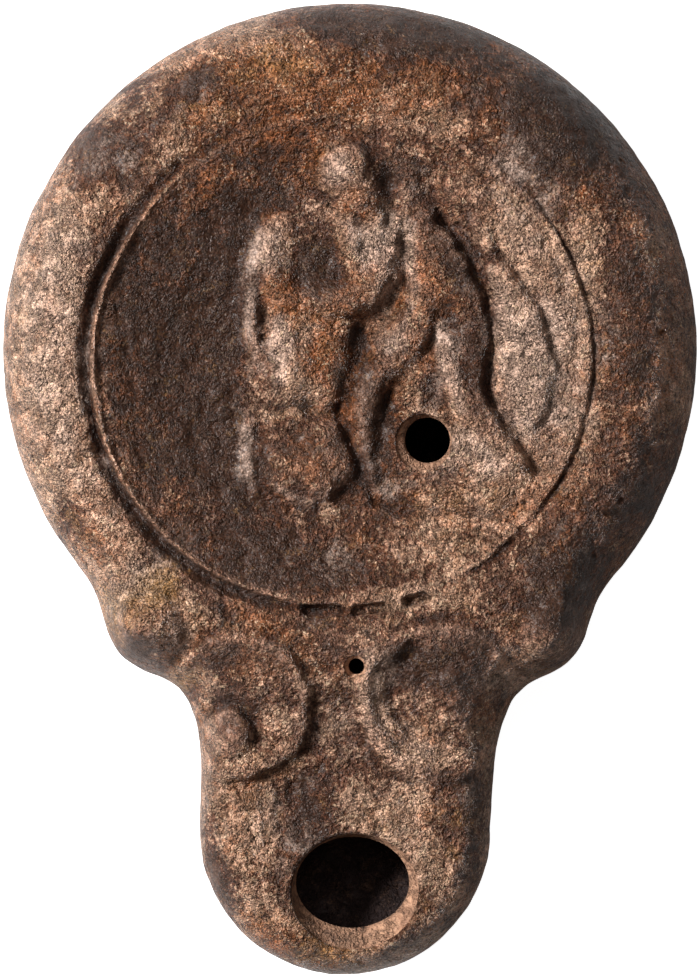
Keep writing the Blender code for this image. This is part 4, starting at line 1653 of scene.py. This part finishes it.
@dataclass(frozen=True)
class SurfaceNotes:
    """Writes on each point what the materials need to know: hollows, for dirt and painted shade; crests, for
    rubbing and painted highlights; patches, some of them painted shade or painted highlights; and soot, with
    painted shade deep inside.
    """

    patches: Patches = Patches()
    # Hollows, near and far, darken as dirt and as painted shade.
    near_hollow: float = 0.7
    near_depth: float = 0.35
    near_share: float = 0.6
    far_hollow: float = 2.2
    far_depth: float = 0.8
    # The tool strokes darken as dirt and painted shade in their grooves.
    stroke_dirt: float = 1.6
    # The ring's groove and cut take more slip, partly as painted shade in them.
    groove_slip: float = 0.5
    cut_slip: float = 0.3
    ridge_wear: float = 0.4
    # The ring's ridge counts as a crest: rubbed, and a painted highlight.
    ridge_rubbing: float = 0.8
    most_hollow: float = 1.6
    most_cover: float = 0.9
    slip_below: float = 0.4
    slip_above: float = 0.9
    seam_fade: float = 2.0
    # Darker with depth below the top, as soot and as painted shade deep in the holes and cavity.
    soot_start: float = 1.5
    soot_full: float = 6.0

    def hollows(self, form: LampForm, x: Array, y: Array, radius: float) -> Array:
        """Measures how far the carved top lies below its own surroundings.

        Args:
            form: The lamp's form.
            x: The points' X.
            y: Their Y.
            radius: How wide the surroundings are.

        Returns:
            The depths, less than 0 on crests.
        """
        smooth = form.carved.softened(radius)
        smooth.z = smooth.z - form.carved.z
        return smooth.at(x, y)

    def write(self, obj: bpy.types.Object, form: LampForm) -> None:
        """Writes the notes as attributes of the mesh.

        Args:
            obj: The lamp.
            form: Its form.
        """
        mesh, patches = obj.data, self.patches
        places, stroke = np.empty(len(mesh.vertices) * 3), np.empty(len(mesh.vertices))
        mesh.vertices.foreach_get("co", places)
        mesh.attributes["stroke"].data.foreach_get("value", stroke)
        x, y, z = places.reshape(-1, 3).T / METRES
        above = ramp(form.seam - self.seam_fade, form.seam + self.seam_fade, z)
        # Hollows, with the strokes and grime patches, darken as dirt and painted shade.
        near = np.clip(self.hollows(form, x, y, self.near_hollow) / self.near_depth, -1, 1)
        far = np.clip(self.hollows(form, x, y, self.far_hollow) / self.far_depth, -1, 1)
        hollow = near * self.near_share + far * (1 - self.near_share)
        hollow = hollow + self.stroke_dirt * stroke + strength(x, y, patches.grime)
        ridge, groove, cut = form.ring.parts(x, y)
        # Slip patches include painted shade and painted light.
        slip = strength(x, y, patches.slip)
        slip += self.groove_slip * groove + self.cut_slip * cut - self.ridge_wear * ridge
        bare = 1 - np.clip(2 * slip, 0, self.most_cover)
        pale = sum(valley_depth(x, y, line) for line in patches.pale)
        # hollow carries dirt and painted shade, crest rubbing and painted highlights, dust painted highlights
        # along the pale lines, and soot painted shade deep inside.
        notes = {
            "hollow": np.clip(hollow, 0, self.most_hollow) * above,
            "crest": np.clip(np.maximum(-hollow, self.ridge_rubbing * ridge), 0, 1) * above * bare,
            "slip": patches.slip_base + slip * (self.slip_below + self.slip_above * above),
            "dust": (strength(x, y, patches.dust) + pale) * above,
            "ochre": strength(x, y, patches.ochre) * above,
            "warm": strength(x, y, patches.warm) * above,
            "soot": ramp(self.soot_start, self.soot_full, form.top(x, y) - z),
        }
        for name, values in notes.items():
            mesh.attributes.new(name, "FLOAT", "POINT").data.foreach_set("value", values.astype(np.float32))


# ---- finishes


def paint(red: int, green: int, blue: int) -> Colour:
    """A colour as a renderer needs it, from its usual 0 to 255 numbers."""
    shares = (value / 255 for value in (red, green, blue))
    return (*(s / 12.92 if s <= 0.04045 else ((s + 0.055) / 1.055) ** 2.4 for s in shares), 1.0)


class Mottle(NamedTuple):
    """How a finish breaks up: the size of its patches, how ragged they are, and the noise's shift."""

    patch_size: float
    raggedness: float
    shift: tuple[float, float, float]


class SharedEffects:
    """Shader node groups that both finishes use, each built once."""

    def __init__(self) -> None:
        """Builds the groups."""
        self.grain = self.build_grain()
        self.mottle = self.build_mottle()
        self.settle = self.build_settle()

    def mask(self, graph: Graph, coverage: Feed, mottle: Mottle) -> Socket:
        """A ragged mask round a coverage."""
        return graph.group(self.mottle, coverage=coverage, **mottle._asdict())[0]

    @staticmethod
    def build_grain() -> bpy.types.NodeTree:
        """Makes gritty fired clay: a wrinkled relief, fine cracks, light flecks with painted glints, dark
        flecks and an uneven shade.

        Returns:
            The group.
        """
        outputs = dict.fromkeys(("Relief", "Light Flecks", "Dark Flecks", "Shade"), "Float")
        graph = Graph(new_group("fired_grain", "ShaderNodeTree", {"Grain Size": 0.3, "Grit": 1.0}, outputs))
        given = graph.node("NodeGroupInput").outputs
        place = graph.scaled(graph.millimetres(), graph.math("DIVIDE", 1, given["Grain Size"]))
        peel = graph.noise(place, 0.82, 0.9, 0.6, 1.3)
        strong = graph.step(graph.noise(place, 0.15, 2, shift=(3, 51, 8)), 0.38, 0.6, 0.5, 1.7)
        hole = graph.step(graph.noise(place, 0.42, 1, twist=0.8, shift=(9, 15, 81)), 0.3, 0.4, -0.5, 0)
        relief = graph.math("MULTIPLY_ADD", peel, strong, hole)
        # Painted glints: sparse bright specks laid into the colour as highlights.
        glints = graph.step(graph.noise(place, 1.3, 0.5, shift=(61, 44, 5)), 0.66, 0.7)
        light = graph.noise(place, 0.55, 1.5, shift=(-23, 17, 41))
        dark = graph.noise(place, 0.5, 2, 0.7, shift=(71, -19, 13))
        shade = graph.noise(place, 1.1, 1.5, 0.7, shift=(37, 2, -61))
        crack = graph.noise(place, 0.5, 2, twist=0.6, shift=(5, 77, 21))
        crack = graph.math("ABSOLUTE", graph.math("SUBTRACT", crack, 0.5))
        crack = graph.times(graph.step(crack, 0.004, 0.022, 1, 0), graph.step(strong, 0.8, 1.3))
        feeds = {
            "Relief": graph.times(graph.math("MULTIPLY_ADD", crack, -0.4, relief), given["Grit"]),
            "Shade": graph.step(shade, 0.3, 0.7, 0.5, 1.5),
            "Light Flecks": graph.math("MAXIMUM", graph.step(light, 0.6, 0.7), glints),
            "Dark Flecks": graph.math("MAXIMUM", graph.step(dark, 0.57, 0.66), graph.times(crack, 0.8)),
        }
        graph.node("NodeGroupOutput", feeds)
        return graph.tree

    @staticmethod
    def build_mottle() -> bpy.types.NodeTree:
        """Makes a ragged, many-sized patchiness round a given coverage.

        Returns:
            The group.
        """
        inputs = {"Coverage": 0.5, "Patch Size": 5.0, "Raggedness": 1.0, "Shift": (0, 0, 0)}
        graph = Graph(new_group("ragged_patches", "ShaderNodeTree", inputs, {"Mask": "Float"}))
        given = graph.node("NodeGroupInput").outputs
        place = graph.vector("ADD", graph.millimetres(), given["Shift"])
        place = graph.scaled(place, graph.math("DIVIDE", 1, given["Patch Size"]))
        fine, broad = graph.noise(place, 7.0, 3, 0.65), graph.noise(place, 1.0, twist=0.5)
        spread = graph.math("MULTIPLY_ADD", fine, 0.75, broad)
        spread = graph.times(graph.math("SUBTRACT", spread, 0.875), given["Raggedness"])
        graph.node("NodeGroupOutput", {0: graph.math("ADD", given["Coverage"], spread, clamp=True)})
        return graph.tree

    @staticmethod
    def build_settle() -> bpy.types.NodeTree:
        """Makes dark dirt and painted shade in hollows, and pale rubbing and painted highlights on crests.

        Returns:
            The group.
        """
        inputs = {
            "Colour": (0.5, 0.5, 0.5, 1), "Dirt Colour": (0.02, 0.01, 0.01, 1), "Dirt": 0.5,
            "Rubbed Colour": (0.5, 0.4, 0.3, 1), "Rubbing": 0.5,
        }
        graph = Graph(new_group("dirt_and_rubbing", "ShaderNodeTree", inputs, {"Colour": "Color"}))
        given = graph.node("NodeGroupInput").outputs
        uneven = graph.step(graph.noise(graph.millimetres(), 1.3, 5, 0.8), 0.35, 0.65, 0.2, 1.3)
        colour = given["Colour"]
        # Crests take the rubbed colour as rubbing and painted highlight; hollows take the dark colour as dirt
        # and painted shade.
        for note, amount, laid in (("crest", "Rubbing", "Rubbed Colour"), ("hollow", "Dirt", "Dirt Colour")):
            share = graph.times(graph.attribute(note), given[amount])
            colour = graph.mix(graph.math("MULTIPLY", share, uneven, clamp=True), colour, given[laid])
        graph.node("NodeGroupOutput", {0: colour})
        return graph.tree


@dataclass(frozen=True)
class SlippedClay:
    """The outside: brown clay under a thin dark slip that has worn, with pale dust and ochre stains, painted
    shade in hollows and in some slip patches, and painted highlights on crests, in some dust patches and as
    glints.
    """

    pale_clay: Colour = paint(204, 162, 136)
    warm_clay: Colour = paint(156, 92, 56)
    thin_slip: Colour = paint(102, 64, 47)
    warm_slip: Colour = paint(112, 66, 40)
    # The slip colours also paint shade where slip patches stand for shadows.
    dark_slip: Colour = paint(56, 33, 21)
    ochre: Colour = paint(168, 124, 74)
    # Pale dust, also laid as painted highlights.
    dust: Colour = paint(202, 172, 154)
    # Dark dirt, laid in pits and, as painted shade, in hollows.
    dirt: Colour = paint(28, 17, 12)
    # Rubbed crests, also painted highlights.
    rubbed: Colour = paint(200, 156, 132)
    # Light flecks, and painted glints.
    fleck: Colour = paint(232, 196, 162)
    film: Colour = paint(118, 90, 60)
    slip_mottle: Mottle = Mottle(5.0, 1.9, (0, 0, 0))
    warm_mottle: Mottle = Mottle(6.5, 2.4, (31, 7, 3))
    ochre_mottle: Mottle = Mottle(2.6, 2.2, (5, 41, 9))
    dust_mottle: Mottle = Mottle(3.0, 2.0, (17, 13, 29))
    film_mottle: Mottle = Mottle(3.0, 2.6, (43, 3, 37))
    film_cover: float = 0.4
    film_strength: float = 0.55
    ochre_strength: float = 0.8
    dust_strength: float = 0.72
    dirt_strength: float = 0.46
    rubbing_strength: float = 0.75
    grain_size: float = 0.3
    relief_depth: float = 0.78
    shine: float = 0.34

    def build(self, effects: SharedEffects) -> bpy.types.Material:
        """Builds the material.

        Args:
            effects: The shared groups.

        Returns:
            The material.
        """
        material, graph = new_material("slipped_clay")
        grain = graph.group(effects.grain, grain_size=self.grain_size, grit=1.0)
        slip = effects.mask(graph, graph.attribute("slip"), self.slip_mottle)
        colour = self.colour(graph, effects, slip)
        colour = graph.scaled(colour, grain["Shade"])
        pitted = graph.times(grain["Dark Flecks"], graph.step(slip, 0.4, 0.8, 0.75, 0.3))
        colour = graph.mix(pitted, colour, self.dirt)
        # Light flecks and painted glints, fewer in hollows and on slip.
        strewn = graph.step(graph.noise(graph.millimetres(), 0.35, 2), 0.4, 0.62, 0.2, 0.85)
        strewn = graph.times(strewn, graph.step(graph.attribute("hollow"), 0.15, 0.6, 1, 0.15))
        strewn = graph.times(strewn, graph.step(slip, 0.4, 0.8, 1, 0.1))
        colour = graph.mix(graph.times(grain["Light Flecks"], strewn), colour, self.fleck)
        rough = graph.noise(graph.millimetres(), 0.9, 2, 0.7)
        rough = graph.math("ADD", graph.step(rough, 0.3, 0.7, 0.24, 0.4), graph.step(slip, 0.3, 0.8, 0, 0.12))
        wear = graph.noise(graph.millimetres(), 0.8, 1.5, twist=0.4)
        relief = graph.math("MULTIPLY_ADD", wear, 0.45, grain["Relief"])
        relief = graph.times(relief, graph.step(slip, 0.25, 0.85, 1.7, 0.35))
        graph.surface(colour, rough, relief, self.relief_depth, self.shine)
        return material

    def colour(self, graph: Graph, effects: SharedEffects, slip: Feed) -> Socket:
        """Lays clay, film, slip, ochre, dust, dirt and rubbing over each other; the slip also paints shade,
        the dust also paints highlights, hollows take dirt and painted shade, and crests take rubbing and
        painted highlights.

        Args:
            graph: The material's graph.
            effects: The shared groups.
            slip: How strong the slip and the shade painted with it are.

        Returns:
            The colour, before its grain.
        """
        warm = effects.mask(graph, graph.math("ADD", graph.attribute("warm"), 0.35), self.warm_mottle)
        ochre = effects.mask(graph, graph.math("SUBTRACT", graph.attribute("ochre"), 0.28), self.ochre_mottle)
        # Dust patches and pale lines: real dust and painted highlights.
        dust = graph.math("MULTIPLY_ADD", graph.attribute("dust"), 1.3, -0.34)
        dust = effects.mask(graph, dust, self.dust_mottle)
        film = effects.mask(graph, self.film_cover, self.film_mottle)
        thin = graph.mix(graph.step(warm, 0.35, 0.85), self.thin_slip, self.warm_slip)
        colour = graph.mix(warm, self.pale_clay, self.warm_clay)
        # The slip layers include painted shade, and the dust layer painted highlights.
        for share, laid in (
            (graph.times(film, self.film_strength), self.film),
            (graph.step(slip, 0.26, 0.6), thin),
            (graph.step(slip, 0.52, 0.9), self.dark_slip),
            (graph.times(ochre, self.ochre_strength), self.ochre),
            (graph.times(dust, self.dust_strength), self.dust),
        ):
            colour = graph.mix(share, colour, laid)
        # Dirt and painted shade in hollows, rubbing and painted highlights on crests.
        return graph.group(
            effects.settle, colour=colour, dirt_colour=self.dirt, dirt=self.dirt_strength,
            rubbed_colour=self.rubbed, rubbing=self.rubbing_strength,
        )[0]


@dataclass(frozen=True)
class BareClay:
    """The inside and the cut walls of the holes: unslipped clay that lamp soot and old oil have blackened,
    darker with depth below the top as soot and painted shade, and darker in hollows as dirt and painted
    shade.
    """

    clay: Colour = paint(178, 136, 108)
    stained: Colour = paint(120, 84, 64)
    # Soot, also laid deeper in as painted shade.
    soot: Colour = paint(44, 29, 27)
    # Dirt, also laid in hollows as painted shade.
    dirt: Colour = paint(40, 27, 22)
    stain_mottle: Mottle = Mottle(2.5, 2.4, (3, 3, 19))
    soot_mottle: Mottle = Mottle(2.0, 0.9, (11, 23, 7))
    stain_cover: float = 0.4
    dirt_strength: float = 0.3
    rubbing_strength: float = 0.2
    grain_size: float = 0.4
    grit: float = 1.2
    relief_depth: float = 0.4
    shine: float = 0.35

    def build(self, effects: SharedEffects) -> bpy.types.Material:
        """Builds the material.

        Args:
            effects: The shared groups.

        Returns:
            The material.
        """
        material, graph = new_material("bare_clay")
        grain = graph.group(effects.grain, grain_size=self.grain_size, grit=self.grit)
        stain = effects.mask(graph, self.stain_cover, self.stain_mottle)
        # Darker with depth below the top: soot and painted shade.
        soot = effects.mask(graph, graph.attribute("soot"), self.soot_mottle)
        # Dirt and painted shade in hollows.
        colour = graph.group(
            effects.settle, colour=graph.mix(stain, self.clay, self.stained), dirt_colour=self.dirt,
            dirt=self.dirt_strength, rubbed_colour=self.clay, rubbing=self.rubbing_strength,
        )[0]
        colour = graph.mix(graph.times(grain["Dark Flecks"], 0.5), colour, self.dirt)
        colour = graph.mix(soot, colour, self.soot)
        rough = graph.step(graph.noise(graph.millimetres(), 1.1), 0.3, 0.7, 0.62, 0.85)
        graph.surface(colour, rough, grain["Relief"], self.relief_depth, self.shine)
        return material


# ---- the lamp and its studio


@dataclass
class Lamp:
    """The lamp: one hollow body of fired clay."""

    form: LampForm
    marks: WearMarks = WearMarks()
    notes: SurfaceNotes = SurfaceNotes()
    slipped: SlippedClay = SlippedClay()
    bare: BareClay = BareClay()

    def build(self) -> bpy.types.Object:
        """Shapes the body and wears it.

        Returns:
            The finished body, with both materials.
        """
        effects = SharedEffects()
        body = LampShell(self.form).build()
        self.marks.apply(body, self.form, self.slipped.build(effects), self.bare.build(effects))
        return body

    def dress(self, body: bpy.types.Object) -> None:
        """Writes the notes that the materials read, and puts the body in the CAD body's place.

        Args:
            body: The lamp's body.
        """
        self.notes.write(body, self.form)
        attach(body, "root")
        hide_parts("lamp_body")


class SoftLight(NamedTuple):
    """A square light turned towards the lamp.

    Azimuth is in degrees from +X towards +Y, and elevation is in degrees. Distance and side are in metres.
    """

    name: str
    azimuth: float
    elevation: float
    distance: float
    side: float
    watts: float

    def build(self) -> None:
        """Adds the light."""
        data = bpy.data.lights.new(self.name, "AREA")
        data.shape, data.size, data.energy = "SQUARE", self.side, self.watts
        turn, lift = math.radians(self.azimuth), math.radians(self.elevation)
        towards = Vector((math.cos(turn) * math.cos(lift), math.sin(turn) * math.cos(lift), math.sin(lift)))
        light = bpy.data.objects.new(self.name, data)
        light.location = towards * self.distance
        light.rotation_mode = "QUATERNION"
        light.rotation_quaternion = towards.to_track_quat("Z", "Y")
        bpy.context.scene.collection.objects.link(light)


@dataclass(frozen=True)
class Studio:
    """A pale floor, a soft key light from the left and a weaker fill, and a long lens straight above."""

    level: float
    middle: Place = (0.0, -16.54)
    view_height: float = 116.2
    camera_distance: float = 2.0
    sensor: float = 36.0
    lights: tuple[SoftLight, ...] = (
        SoftLight("key_light", 163, 37, 1.1, 0.35, 26.5),
        SoftLight("fill_light", 95, 62, 1.3, 0.9, 2.5),
    )
    world_strength: float = 0.13
    world_tint: tuple[float, ...] = (1.0, 0.93, 0.87, 1.0)
    floor_side: float = 3.0
    floor_glow: float = 0.95

    def camera(self) -> None:
        """Places the camera straight above the lamp."""
        data = bpy.data.cameras.new("camera")
        data.sensor_fit, data.sensor_height = "VERTICAL", self.sensor
        data.lens = self.sensor * self.camera_distance / (self.view_height * METRES)
        data.clip_start, data.clip_end = 0.05, 20
        camera = bpy.data.objects.new("camera", data)
        height = self.camera_distance + self.level * METRES
        camera.location = (self.middle[0] * METRES, self.middle[1] * METRES, height)
        bpy.context.scene.collection.objects.link(camera)
        bpy.context.scene.camera = camera

    def floor(self) -> bpy.types.Object:
        """Adds the pale floor, which glows a little for the camera alone.

        Returns:
            The floor.
        """
        half = self.floor_side / 2
        mesh = bpy.data.meshes.new("floor")
        corners = [(-half, -half, 0), (half, -half, 0), (half, half, 0), (-half, half, 0)]
        mesh.from_pydata(corners, [], [(0, 1, 2, 3)])
        material, graph = new_material("pale_floor")
        seen = graph.node("ShaderNodeLightPath").outputs["Is Camera Ray"]
        feeds = {"Base Color": (0.7, 0.7, 0.7, 1), "Roughness": 0.9, "Emission Color": (1, 1, 1, 1)}
        shader = graph.node("ShaderNodeBsdfPrincipled", feeds)
        graph.feed(shader.inputs["Emission Strength"], graph.times(seen, self.floor_glow))
        graph.node("ShaderNodeOutputMaterial", {"Surface": shader.outputs[0]})
        mesh.materials.append(material)
        floor = bpy.data.objects.new("floor", mesh)
        bpy.context.scene.collection.objects.link(floor)
        return floor

    def build(self) -> None:
        """Sets up camera, floor, lights and world."""
        self.camera()
        self.floor()
        for light in self.lights:
            light.build()
        world = bpy.data.worlds.new("studio")
        world.use_nodes = True
        background = world.node_tree.nodes["Background"]
        background.inputs["Color"].default_value = self.world_tint
        background.inputs["Strength"].default_value = self.world_strength
        bpy.context.scene.world = world
        bpy.context.scene.view_settings.view_transform = "Standard"


def main() -> None:
    """Builds the lamp and its studio."""
    logging.basicConfig(level=logging.INFO, format="%(name)s: %(message)s")
    low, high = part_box("lamp_body")
    outline = Outline(body_radius=high.y / METRES, tip=low.y / METRES)
    form = LampForm(outline)
    lamp = Lamp(form)
    body = lamp.build()
    lamp.dress(body)
    LOG.info("%s: %d triangles", body.name, len(body.data.polygons))
    Studio(level=form.seam).build()
    LOG.info("studio: floor, two lights, camera")


if __name__ == "__main__":
    main()
